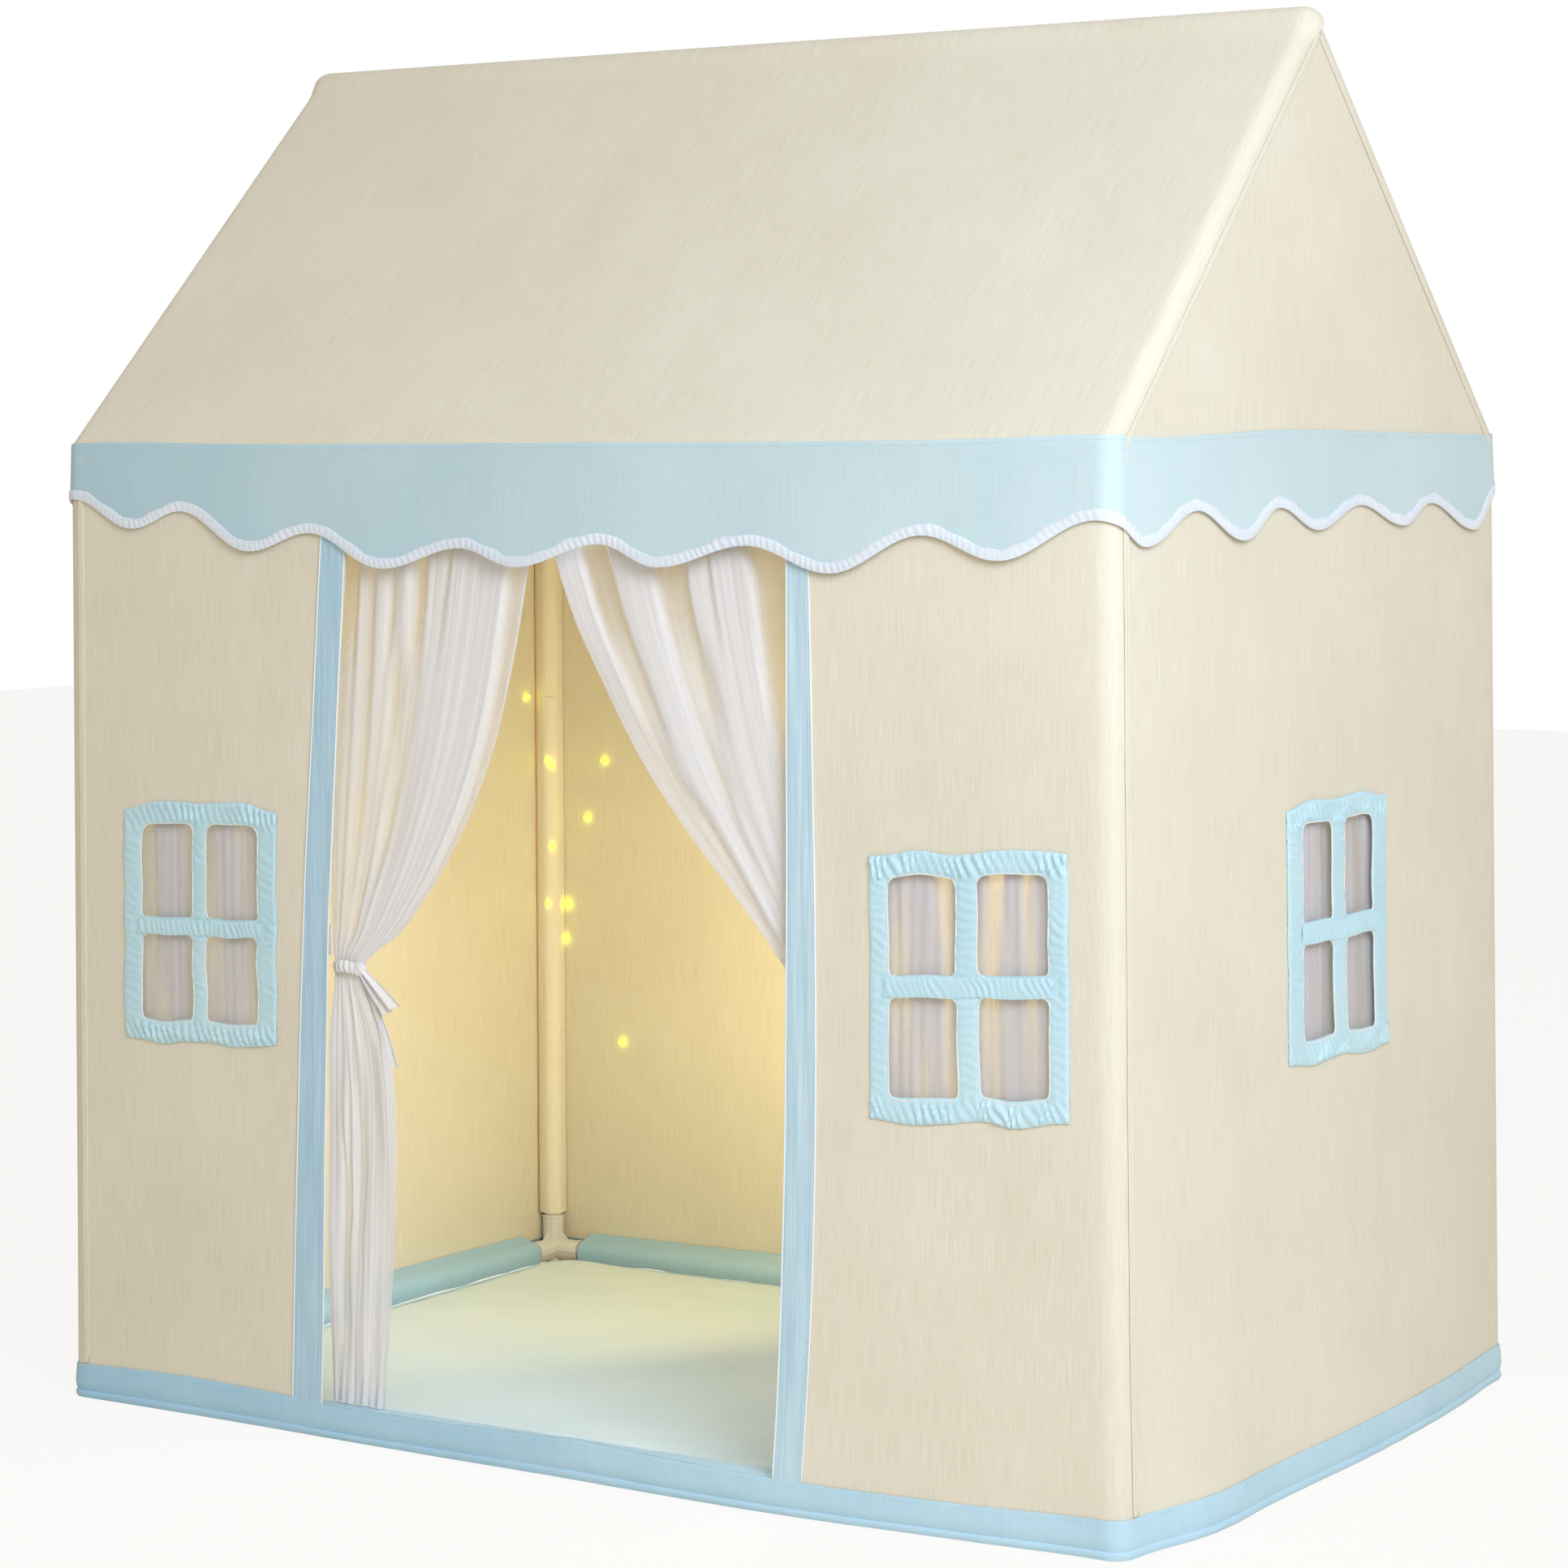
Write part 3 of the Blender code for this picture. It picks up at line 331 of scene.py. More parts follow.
FOOT_BULGE = (
    (0.0, 0.0120), (0.27, 0.0185), (0.458, 0.0076), (0.585, 0.0008), (0.6180, 0.0030), (0.711, 0.0220),
    (0.848, 0.0215), (1.035, 0.0235), (1.261, 0.0140), (1.390, 0.0008), (1.60, 0.0070), (1.95, 0.0130),
    (2.28, 0.0080), (2.60, 0.0008), (2.80, 0.0060), (3.05, 0.0090), (3.28, 0.0040), (3.42, 0.0004),
    (3.59, 0.0012), (3.83, 0.0085), (4.0138, 0.0120),
)
SIDES = ((-POST_X, 2 * POST_X), (RIGHT_START, 2 * POST_Y), (BACK_START, 2 * POST_X), (LEFT_START, 2 * POST_Y))


def give(s, z):
    """How far the cloth stands out from its tight line: billows between the posts, and the swell at the foot."""
    s, z = np.broadcast_arrays(np.asarray(s, float), np.asarray(z, float))
    wrapped = np.mod(s, AROUND)
    free = np.zeros(s.shape)
    for start, length in SIDES:
        along = np.mod(wrapped - start, AROUND) / length
        free = np.where(along < 1.0, np.sin(np.pi * np.clip(along, 0, 1)) ** 0.7, free)
    tall = np.sin(np.pi * np.clip((z - 0.02) / 0.93, 0, 1)) ** 0.6
    lumps = 0.0011 * ripple(wrapped, z, 3, 0.34) + 0.0007 * ripple(wrapped * 1.6, z * 0.35, 8, 0.11)
    swell = smooth_line(wrapped, FOOT_BULGE) * np.exp(-(np.maximum(z - 0.03, 0) / 0.13) ** 1.15)
    return free * tall * (0.0012 + lumps) + swell


def on_cover(s, z, lift=0.0):
    """Points on the outside of the walls, lifted off them by a distance."""
    s, z = np.broadcast_arrays(np.asarray(s, float), np.asarray(z, float))
    x, y, out_x, out_y = outline(s)
    rise = give(s, z) + lift
    return together(x + out_x * rise, y + out_y * rise, z)


def new_piece(name, points, faces, cut, finish, crisp=None):
    """A new object from points and faces, with the place in the cut cloth of every corner of its faces."""
    mesh = bpy.data.meshes.new(name)
    mesh.from_pydata(points.tolist(), [], faces)
    mesh.uv_layers.new(name="cut").data.foreach_set("uv", cut.astype(np.float32).ravel())
    mesh.materials.append(finish)
    mesh.shade_smooth()
    if crisp:
        mesh.set_sharp_from_angle(angle=math.radians(crisp))
    return add_to_scene(name, mesh)


def carried_on(cut, girth):
    """Carries the cut on past the last column where a ring of cloth closes. It has four corners for each face."""
    u = cut[:, 0].reshape(-1, 4)
    torn = (u.max(axis=1) - u.min(axis=1)) > girth / 2
    u[torn] = np.where(u[torn] < girth / 2, u[torn] + girth, u[torn])
    cut[:, 0] = u.ravel()
    return cut


def cloth_piece(name, face, thickness, finish, cells=None, loop=False, cut=None, crisp=50.0):
    """A closed sheet of cloth from a grid of points on its outside. Columns go to the right and rows go up, seen
    from outside. cells says which squares are there, and loop joins the last column to the first."""
    columns, rows = face.shape[:2]
    if loop:
        across = np.roll(face, -1, axis=0) - np.roll(face, 1, axis=0)
    else:
        across = np.gradient(face, axis=0)
    normal = np.cross(across, np.gradient(face, axis=1))
    normal /= np.maximum(np.linalg.norm(normal, axis=-1, keepdims=True), 1e-12)
    spans = columns if loop else columns - 1
    if cells is None:
        cells = np.ones((spans, rows - 1), bool)
    if cut is None:
        u = summed(np.linalg.norm(np.diff(face, axis=0), axis=-1).mean(axis=1))
        v = summed(np.linalg.norm(np.diff(face, axis=1), axis=-1).mean(axis=0))
        cut = together(u[:, None], v[None, :])
    count = columns * rows
    index = np.arange(count).reshape(columns, rows)
    following = np.roll(index, -1, axis=0) if loop else index[1:]
    low, high = index[:spans, :-1], index[:spans, 1:]
    low_next, high_next = following[:spans, :-1], following[:spans, 1:]
    quads = [together(low, low_next, high_next, high)[cells], together(high, high_next, low_next, low)[cells] + count]
    wide = np.zeros((spans + 2, rows + 1), bool)
    wide[1:-1, 1:-1] = cells
    if loop:
        wide[0, 1:-1] = cells[-1]
        wide[-1, 1:-1] = cells[0]
    for beside, first, second in (
        (wide[1:-1, :-2], low_next, low), (wide[1:-1, 2:], high, high_next),
        (wide[:-2, 1:-1], low, high), (wide[2:, 1:-1], high_next, low_next),
    ):
        a, b = first[cells & ~beside], second[cells & ~beside]
        quads.append(together(a, b, b + count, a + count))
    quads = np.concatenate(quads)
    points = np.concatenate((face.reshape(-1, 3), (face - normal * thickness).reshape(-1, 3)))
    used = np.zeros(len(points), bool)
    used[quads.ravel()] = True
    renumber = np.cumsum(used) - 1
    corner_cut = np.concatenate((cut.reshape(-1, 2), cut.reshape(-1, 2)))[quads.ravel()]
    if loop:
        girth = cut[-1, 0, 0] - cut[0, 0, 0] + np.linalg.norm(face[0, 0] - face[-1, 0])
        corner_cut = carried_on(corner_cut, girth)
    return new_piece(name, points[used], renumber[quads].tolist(), corner_cut, finish, crisp)


def woven_cotton(name, pale, deep, slub, slub_pitch, yarn, crumple, roughness, sheen, flat=False, painted_left_shade=False):
    """Woven cotton by the cut of the cloth: slubby upright yarns, faint mottling, a fine plain weave, crumples. A
    flat cloth, one that lies on the ground, has its weave by its place instead. With painted left shade the cloth
    is painted darker and bluer towards the left end of the tent: painted shade where the light falls off."""
    cotton, node, shade = new_finish(name)
    where = node("TexCoord", "Object") if flat else node("UVMap", "UV", uv_map="cut")
    yarns = node("Mapping", "Vector", {"Vector": where, "Scale": (1.0 / slub_pitch, 0.035 / slub_pitch, 1.0)})
    streak = node("TexNoise", "Fac", {"Vector": yarns, "Scale": 1.0, "Detail": 3.0})
    clouds = node("TexNoise", "Fac", {"Vector": where, "Scale": 5.5, "Detail": 4.0})
    both = reckon(node, "MULTIPLY_ADD", clouds, 1.0 - slub, reckon(node, "MULTIPLY", streak, slub))
    spread = node("MapRange", "Result", {"Value": both, "From Min": 0.30, "From Max": 0.70})
    dye_and_shade = blend(node, spread, deep, pale)
    # Painted shade: darker and bluer towards the left end of the tent, where the light falls off.
    if painted_left_shade:
        across = node("SeparateXYZ", "X", {"Vector": node("TexCoord", "Object")})
        left = node("MapRange", "Result", {"Value": across, "From Min": 0.30, "From Max": -0.60})
        dye_and_shade = blend(node, left, dye_and_shade, (0.77, 0.87, 0.95), "MULTIPLY")
    rough_low, rough_high = roughness - 0.06, min(1.0, roughness + 0.06)
    rough = node("MapRange", "Result", {"Value": streak, "To Min": rough_low, "To Max": rough_high})
    waves = []
    for axis in ("X", "Y"):
        along = node("SeparateXYZ", axis, {"Vector": where})
        waves.append(reckon(node, "SINE", reckon(node, "MULTIPLY", along, 2 * math.pi / yarn)))
    weave = reckon(node, "MULTIPLY", *waves)
    folds = node("TexNoise", "Fac", {"Vector": where, "Scale": 26.0, "Detail": 2.0})
    bump = node("Bump", "Normal", {"Height": weave, "Strength": 0.35, "Distance": 0.0002})
    bump = node("Bump", "Normal", {"Height": streak, "Strength": 0.5, "Distance": 0.0004, "Normal": bump})
    bump = node("Bump", "Normal", {"Height": folds, "Strength": crumple, "Distance": 0.003, "Normal": bump})
    shade({
        "Base Color": dye_and_shade, "Roughness": rough, "Normal": bump, "Specular IOR Level": 0.25,
        "Sheen Weight": sheen, "Sheen Roughness": 0.5,
    })
    return cotton


def fixed(piece, body, finish, *nodes):
    """Hangs a finished piece on its body and hides the CAD nodes that it stands for. The finish is not used."""
    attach(piece, body)
    if nodes:
        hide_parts(*nodes)
    return piece


cream_canvas = woven_cotton(
    "cream_canvas", (0.835, 0.785, 0.675), (0.725, 0.665, 0.545), 0.62, 0.0016, 0.0012, 0.10, 0.90, 0.15
)
WINDOW_HOLES = {
    "front_left": (on_front(-0.4260), 0.1700, 0.3750, 0.5905),
    "front_right": (on_front(0.4525), 0.1760, 0.3750, 0.5880),
    "end": (on_right(0.0230), 0.1930, 0.3880, 0.6060),
}


def steps(*stops):
    """Positions from stop to stop with about the given spacing: stop, spacing, stop, spacing, ... stop."""
    found = [np.array((stops[0],))]
    for first, spacing, last in zip(stops[0::2], stops[1::2], stops[2::2]):
        count = max(1, int(round(abs(last - first) / spacing)))
        found.append(np.linspace(first, last, count + 1)[1:])
    return np.concatenate(found)


def wall_panel(name, start, end, hole=None):
    """A wall panel between two upright edges, each a distance or a line by height, with a window cut in it."""
    levels = steps(WALL_FOOT, 0.007, 0.20, 0.012, WALL_TOP)
    if hole:
        middle, width, low, high = hole
        clear = (abs(levels - low) > 0.004) & (abs(levels - high) > 0.004)
        levels = np.sort(np.concatenate((levels[clear], (low, high))))
    first, final = (
        smooth_line(levels, edge) if isinstance(edge, tuple) else np.full(levels.shape, edge) for edge in (start, end)
    )
    if hole:
        inner = steps(middle - width / 2, COLUMN, middle + width / 2)
        lead = np.linspace(0, 1, max(3, int((inner[0] - first.mean()) / COLUMN)))[:-1, None]
        tail = np.linspace(0, 1, max(3, int((final.mean() - inner[-1]) / COLUMN)))[1:, None]
        s = np.concatenate((
            between(first[None, :], inner[0], lead),
            np.repeat(inner[:, None], len(levels), axis=1),
            between(inner[-1], final[None, :], tail),
        ))
        here = (s[:-1] + s[1:])[:, :-1] / 2
        height = (levels[:-1] + levels[1:])[None, :] / 2
        cells = ~((abs(here - middle) < width / 2) & (height > low) & (height < high))
    else:
        share = np.linspace(0, 1, max(4, int(abs(final.mean() - first.mean()) / COLUMN)))[:, None]
        s = between(first[None, :], final[None, :], share)
        cells = None
    cut = together(s, levels[None, :])
    return cloth_piece(name, on_cover(s, levels[None, :]), CANVAS, cream_canvas, cells=cells, cut=cut)


COLUMN = 0.008
FRONT_LEFT_SEAM = -0.5807
RIGHT_SEAM = on_right(-0.3907)
BACK_SEAM = on_back(0.5807)
LEFT_SEAM = on_left(0.3907)
SEAM_LAP = 0.0004
HEADER_FOOT = 0.9050
front_left = wall_panel("front_left_panel", FRONT_LEFT_SEAM + SEAM_LAP, DOOR_LEFT, WINDOW_HOLES["front_left"])
front_right = wall_panel("front_right_panel", DOOR_RIGHT, RIGHT_SEAM - SEAM_LAP, WINDOW_HOLES["front_right"])
end_right = wall_panel("right_end_panel", RIGHT_SEAM + SEAM_LAP, BACK_SEAM - SEAM_LAP, WINDOW_HOLES["end"])
back = wall_panel("back_panel", BACK_SEAM + SEAM_LAP, LEFT_SEAM - SEAM_LAP)
end_left = wall_panel("left_end_panel", LEFT_SEAM + SEAM_LAP, AROUND + FRONT_LEFT_SEAM - SEAM_LAP)
header_z = steps(HEADER_FOOT, 0.006, WALL_TOP)[None, :]
header_across = np.linspace(0.0008, 0.9992, 64)[:, None]
header_s = between(smooth_line(header_z, DOOR_LEFT), smooth_line(header_z, DOOR_RIGHT), header_across)
header = cloth_piece(
    "header_panel", on_cover(header_s, header_z), CANVAS, cream_canvas, cut=together(header_s, header_z)
)
for panel, node_name, width, share in (
    (front_left, "front_wall_left", 0.345, 0.86), (front_right, "front_wall_right", 0.368, 0.87),
    (end_right, "end_wall_right", 0.836, 0.93), (back, "back_wall", 1.208, None),
    (end_left, "end_wall_left", 0.830, None), (header, "door_header", 0.500, None),
):
    tall = 0.0425 if panel is header else WALL_TOP - WALL_FOOT
    fixed(panel, "tent", "cream_canvas", node_name)

# Cover, roof. One piece of the same canvas over both slopes, from eave to eave over the ridge pole. It wraps a
# quarter turn round the rafters at both ends and is sewn there to the gables. It gives a little between the tubes.
EAVE_Z = 0.9556
RIDGE_Z = 1.3446
PITCH = math.atan2(RIDGE_Z - EAVE_Z, POST_Y)
ROOF_SAG = 0.0042
ROOF_FOOT = WALL_TOP + 0.0006


def roof_section(rise):
    """The roof from the front eave over the ridge to the back eave: the line of the tubes, the way that it faces,
    and how free the cloth is there."""
    lean = math.pi / 2 + PITCH
    front = [(-POST_Y, z, math.pi, 0.0) for z in np.linspace(ROOF_FOOT, EAVE_Z, 4)[:-1]]
    front += [(-POST_Y, EAVE_Z, angle, 0.0) for angle in np.linspace(math.pi, lean, 8)[:-1]]
    front += [
        (-POST_Y * (1 - t), EAVE_Z + (RIDGE_Z - EAVE_Z) * t, lean, math.sin(math.pi * t) ** 0.8)
        for t in np.linspace(0, 1, rise)[:-1]
    ]
    front += [(0.0, RIDGE_Z, angle, 0.0) for angle in np.linspace(lean, math.pi / 2, 7)]
    back = [(-y, z, math.pi - angle, weight) for y, z, angle, weight in front[-2::-1]]
    rows = np.array(front + back)
    return rows[:, :2], rows[:, 2], rows[:, 3]


roof_line, roof_facing, roof_weight = roof_section(56)
roof_turn = np.concatenate((
    np.linspace(-math.pi / 2, 0, 9)[:-1], np.zeros(129), np.linspace(0, math.pi / 2, 9)[1:]
))
roof_x = np.concatenate((np.full(8, -POST_X), np.linspace(-POST_X, POST_X, 129), np.full(8, POST_X)))
roof_cut_x = roof_x + WRAP * roof_turn
roof_cut_y = summed(np.linalg.norm(np.diff(roof_line, axis=0), axis=1) + WRAP * abs(np.diff(roof_facing)))
roof_out = together(
    np.sin(roof_turn)[:, None], np.cos(roof_turn)[:, None] * np.cos(roof_facing)[None, :],
    np.cos(roof_turn)[:, None] * np.sin(roof_facing)[None, :],
)
roof_mid = together(roof_x[:, None], roof_line[None, :, 0], roof_line[None, :, 1])
roof_free = np.sin(np.pi * np.clip((roof_x + POST_X) / (2 * POST_X), 0, 1))[:, None] ** 0.6 * roof_weight[None, :]
roof_free = np.where(abs(roof_turn[:, None]) > 1e-6, 0.0, roof_free)
roof_dip = roof_free * (
    -ROOF_SAG + 0.0016 * ripple(roof_cut_x[:, None], roof_cut_y[None, :], 21, 0.42)
    + 0.0006 * ripple(roof_cut_x[:, None] * 1.7, roof_cut_y[None, :] * 0.4, 24, 0.13)
)
over_ridge = (roof_facing > 1.0) & (roof_facing < 2.4)
roof_dip = roof_dip + 0.0048 * np.exp(-((roof_line[:, 0] / 0.010) ** 2))[None, :] * over_ridge
roof_cut = together(roof_cut_x[:, None], roof_cut_y[None, :])
roof = cloth_piece(
    "roof", roof_mid + roof_out * (WRAP + roof_dip)[..., None], CANVAS, cream_canvas, cut=roof_cut
)
fixed(roof, "tent", "cream_canvas", "roof_front", "roof_back")
for side in (-1, 1):
    tall = np.linspace(0, 1, 50)
    gable_z = ROOF_FOOT + (RIDGE_Z - ROOF_FOOT) * tall
    half = np.where(gable_z < EAVE_Z, POST_Y, POST_Y * (RIDGE_Z - gable_z) / (RIDGE_Z - EAVE_Z)) - 0.0004
    half = np.maximum(half, 0.0006)
    share = np.linspace(-1, 1, 61)[:, None]
    y, z = np.broadcast_arrays(side * share * half[None, :], gable_z[None, :])
    slack = (1 - share**2) ** 0.8 * np.sin(np.pi * tall[None, :]) ** 0.8
    x = side * (POST_X + WRAP + slack * (-0.0012 + 0.0010 * ripple(y, z, 31 + side, 0.25)))
    gable = cloth_piece(
        "gable_right" if side > 0 else "gable_left", together(x, y, z), CANVAS, cream_canvas, cut=together(side * y, z)
    )
    fixed(gable, "tent", "cream_canvas")

# Post sleeves. In each corner a strip of cream canvas, painted paler as painted light that lifts the shade of
# the corner, is sewn from one wall to the other over the post, and a pair of pale tabs of hook-and-loop tape
# closes it. Nothing but the strips and their tabs shows of the posts.
CORNERS = (("front_left", -1, -1), ("front_right", 1, -1), ("back_right", 1, 1), ("back_left", -1, 1))
INSIDE = 0.01446
SLEEVE_SLACK = 0.0116
SLEEVE_START = (0.0006, 0.0225)
SLEEVE_END = (0.0235, 0.0006)
SLEEVE_FOOT = 0.0575
SLEEVE_TOP = 0.9055
# Painted light: the sleeve's cream canvas is painted paler to lift the shade of the corner.
sleeve_canvas_painted_light = woven_cotton(
    "sleeve_canvas_painted_light", (0.950, 0.885, 0.770), (0.870, 0.800, 0.680), 0.62, 0.0016, 0.0012, 0.08, 0.90, 0.15
)
hook_tape = woven_cotton(
    "hook_tape", (0.97, 0.92, 0.82), (0.90, 0.84, 0.73), 0.25, 0.0010, 0.0006, 0.05, 0.95, 0.30
)
sleeve_turns = []
for foot, way in ((SLEEVE_START, 1), (SLEEVE_END, -1)):
    off_x, off_y = foot[0] - INSIDE, foot[1] - INSIDE
    sleeve_turns.append(math.atan2(off_y, off_x) - way * math.acos(SLEEVE_SLACK / math.hypot(off_x, off_y)))
sleeve_path = np.array([SLEEVE_START] + [
    (INSIDE + SLEEVE_SLACK * math.cos(turn), INSIDE + SLEEVE_SLACK * math.sin(turn))
    for turn in np.linspace(sleeve_turns[0], sleeve_turns[1], 12)
] + [SLEEVE_END])
sleeve_far = way_along(sleeve_path)


def corner_strip(name, side_x, side_y, part, z, lift, thickness, finish):
    """A strip of cloth in a corner, between two shares of the way round the sleeve."""
    far = part * sleeve_far[-1]
    in_x, in_y = np.interp(far, sleeve_far, sleeve_path[:, 0]), np.interp(far, sleeve_far, sleeve_path[:, 1])
    lift = lift * np.sin(np.pi * np.clip(part, 0.04, 0.96)) ** 0.5
    face = together(
        side_x * (POST_X + INSIDE - in_x - lift * 0.7), side_y * (POST_Y + INSIDE - in_y - lift * 0.7), z
    )
    if side_x * side_y > 0:
        face = face[::-1]
    return fixed(cloth_piece(name, face, thickness, finish), "tent", "cream_canvas")


for seed, (label, side_x, side_y) in zip((201, 203, 205, 207), CORNERS):
    part = np.linspace(0, 1, 40)[:, None]
    z = np.linspace(SLEEVE_FOOT, SLEEVE_TOP, 90)[None, :]
    slack = 0.0006 + 0.0005 * ripple(part * 0.06, z, seed, 0.12)
    sleeve = corner_strip("post_sleeve_" + label, side_x, side_y, part, z, slack, 0.0005, sleeve_canvas_painted_light)
    for number, middle in enumerate(STRAP_MIDDLES):
        part = np.linspace(0.24, 0.62, 17)[:, None]
        z = middle + np.linspace(-0.034, 0.034, 12)[None, :]
        corner_strip("post_tab_%s_%d" % (label, number + 1), side_x, side_y, part, z, 0.0019, 0.0007, hook_tape)

# Felled seams. The panels of the cover meet in flat seams: four upright ones just past the posts, and one along
# each slope of both gables. The seam is folded under and stands up a little, with a fine cord of canvas in its edge.
# Inside, a thin orange-brown cord down each corner, along the edge of the post sleeve, is painted shade of the
# crease between the wall and the sleeve.
SEAM_WIDTH = 0.0070


def cord_along(name, line, radius, finish, closed=False, sides=8):
    """A round cord along a line of points, closed at its ends."""
    line = np.asarray(line, float)
    run = np.roll(line, -1, axis=0) - np.roll(line, 1, axis=0) if closed else np.gradient(line, axis=0)
    run /= np.linalg.norm(run, axis=1, keepdims=True)
    side = np.cross(run, np.array((0.31, 0.17, 0.93)))
    side /= np.linalg.norm(side, axis=1, keepdims=True)
    other = np.cross(run, side)
    turn = np.linspace(0, 2 * math.pi, sides, endpoint=False)
    ring = line[:, None, :] + radius * (
        np.cos(turn)[None, :, None] * side[:, None, :] + np.sin(turn)[None, :, None] * other[:, None, :]
    )
    index = np.arange(len(line) * sides).reshape(-1, sides)
    spans = len(line) if closed else len(line) - 1
    here, after = index[:spans], np.roll(index, -1, axis=0)[:spans]
    faces = together(here, np.roll(here, -1, axis=1), np.roll(after, -1, axis=1), after).reshape(-1, 4).tolist()
    if not closed:
        faces += [index[0, ::-1].tolist(), index[-1].tolist()]
    spots = np.concatenate([np.array(face) for face in faces])
    cut = together(turn[spots % sides] * radius, way_along(line)[spots // sides])
    return new_piece(name, ring.reshape(-1, 3), faces, cut, finish)


def seam_strip(name, face):
    """A folded seam along a grid that is seven points wide, raised in its middle."""
    strip = cloth_piece(name, face, 0.0007, cream_canvas, crisp=75.0)
    return fixed(strip, "tent", "cream_canvas")


seam_rows = []
seam_levels = steps(0.036, 0.010, WALL_TOP - 0.001)
seam_share = np.linspace(-1, 1, 7)[:, None]
seam_height = 0.0009 + 0.0005 * (1 - seam_share**4)
for label, middle in (
    ("front_left", FRONT_LEFT_SEAM), ("right", RIGHT_SEAM), ("back", BACK_SEAM), ("left", LEFT_SEAM),
):
    wander = 0.0006 * ripple(seam_levels, 0.0, 221, 0.16)[None, :]
    s, z = np.broadcast_arrays(middle + seam_share * SEAM_WIDTH / 2 + wander, seam_levels[None, :])
    seam_strip("seam_" + label, on_cover(s, z, seam_height + 0.0002 * ripple(s, z, 222, 0.02)))
    edge_line = on_cover(middle + SEAM_WIDTH / 2 + wander[0], seam_levels, 0.0007)
    fixed(cord_along("seam_cord_" + label, edge_line, 0.0009, cream_canvas), "tent", "cream_canvas")
    for shift in (-0.0020, 0.0018):
        seam_rows.append(on_cover(middle + shift + wander[0], seam_levels, 0.0014))
# Painted shade: an orange-brown cord that stands for the shade in each corner's crease.
painted_crease_shade = woven_cotton(
    "painted_crease_shade", (0.880, 0.560, 0.270), (0.720, 0.430, 0.180), 0.40, 0.0016, 0.0008, 0.05, 0.95, 0.20
)
for label, side_x, side_y in CORNERS:
    z = np.linspace(SLEEVE_FOOT, SLEEVE_TOP, 120)
    x = side_x * (POST_X + INSIDE - SLEEVE_START[0] - 0.0012)
    y = side_y * (POST_Y + INSIDE - SLEEVE_START[1] - 0.0012 + 0.0004 * ripple(z, 0.0, 231, 0.08))
    fixed(cord_along("sleeve_crease_shade_" + label, together(x, y, z), 0.0007, painted_crease_shade), "tent", "cream_canvas")
for side in (-1, 1):
    for slope in (-1, 1):
        run = np.linspace(0.004, 0.988, 60)[None, :]
        drop = 0.0006 + (seam_share + 1) / 2 * SEAM_WIDTH
        y = slope * (POST_Y * (1 - run)) - slope * drop * math.sin(PITCH)
        z = EAVE_Z + (RIDGE_Z - EAVE_Z) * run - drop * math.cos(PITCH)
        face = together(side * (POST_X + WRAP + seam_height), y, z)
        if side * slope > 0:
            face = face[::-1]
        label = "%s_%s" % ("right" if side > 0 else "left", "back" if slope > 0 else "front")
        seam_strip("rafter_seam_" + label, face)
        for part in (2, 4):
            row = face[part].copy()
            row[:, 0] += side * 0.0001
            seam_rows.append(row)

# Valance. One long strip of light blue cotton sewn over the eave seam all round, with scallops along its lower
# edge. The edge is bound with a folded, slightly puckered bias tape, and the strip stands a little off the wall.
# Painted shade: this cotton is painted darker and bluer towards the tent's left end.
blue_cotton = woven_cotton(
    "blue_cotton", (0.645, 0.780, 0.830), (0.530, 0.685, 0.750), 0.35, 0.0022, 0.0010, 0.14, 0.88, 0.18, painted_left_shade=True
)
binding_cotton = woven_cotton(
    "binding_cotton", (0.830, 0.880, 0.970), (0.700, 0.765, 0.890), 0.30, 0.0018, 0.0008, 0.10, 0.85, 0.20
)
FRONT_SCALLOPS = (
    (-0.588, 0.907), (-0.5080, 0.8780), (-0.4470, 0.8955), (-0.3555, 0.8568), (-0.2820, 0.8750), (-0.1895, 0.8418),
    (-0.0985, 0.8620), (-0.0320, 0.8450), (0.0630, 0.8670), (0.1300, 0.8465), (0.2260, 0.8670), (0.3150, 0.8430),
    (0.4110, 0.8775), (0.4880, 0.8560), (0.5840, 0.8915),
)
RIGHT_SCALLOPS = (
    (-0.3600, 0.8675), (-0.2620, 0.8970), (-0.1730, 0.8685), (-0.0960, 0.8965), (-0.0170, 0.8745), (0.0760, 0.8960),
    (0.1720, 0.8745), (0.2390, 0.8950), (0.3430, 0.8665),
)
VALANCE_TOP = (
    (0.0, 0.9601), (0.2945, 0.9600), (0.4623, 0.9612), (0.5431, 0.9636), (0.60, 0.9640), (0.6567, 0.9615),
    (0.7867, 0.9635), (0.9113, 0.9674), (1.0218, 0.9665), (1.130, 0.9646), (1.291, 0.9625), (1.388, 0.9616),
    (1.419, 0.9626), (1.641, 0.9609), (1.939, 0.9601), (2.00691, 0.9601),
)
half_way = AROUND / 2


def all_round(count):
    """Evenly spaced places right round the cover, from the middle of its back."""
    return np.linspace(-half_way, half_way, count, endpoint=False)


edge_knots = [(on_front(x), z) for x, z in FRONT_SCALLOPS] + [(on_right(y), z) for y, z in RIGHT_SCALLOPS]
edge_knots += [(s + half_way, z) for s, z in edge_knots]
edge_s, edge_z = np.array(sorted((s % AROUND, z) for s, z in edge_knots)).T
edge_s = np.concatenate((edge_s[-1:] - AROUND, edge_s, edge_s[:1] + AROUND))
edge_z = np.concatenate((edge_z[-1:], edge_z, edge_z[:1]))


def scallop(s):
    """Height of the valance's lower edge at the distance s round the tent: smooth from lobe to crest."""
    s = np.mod(s, AROUND)
    spot = np.clip(np.searchsorted(edge_s, s) - 1, 0, len(edge_s) - 2)
    t = (s - edge_s[spot]) / (edge_s[spot + 1] - edge_s[spot])
    ease = 0.5 - 0.5 * np.cos(np.pi * np.clip(t, 0, 1))
    return between(edge_z[spot], edge_z[spot + 1], ease)


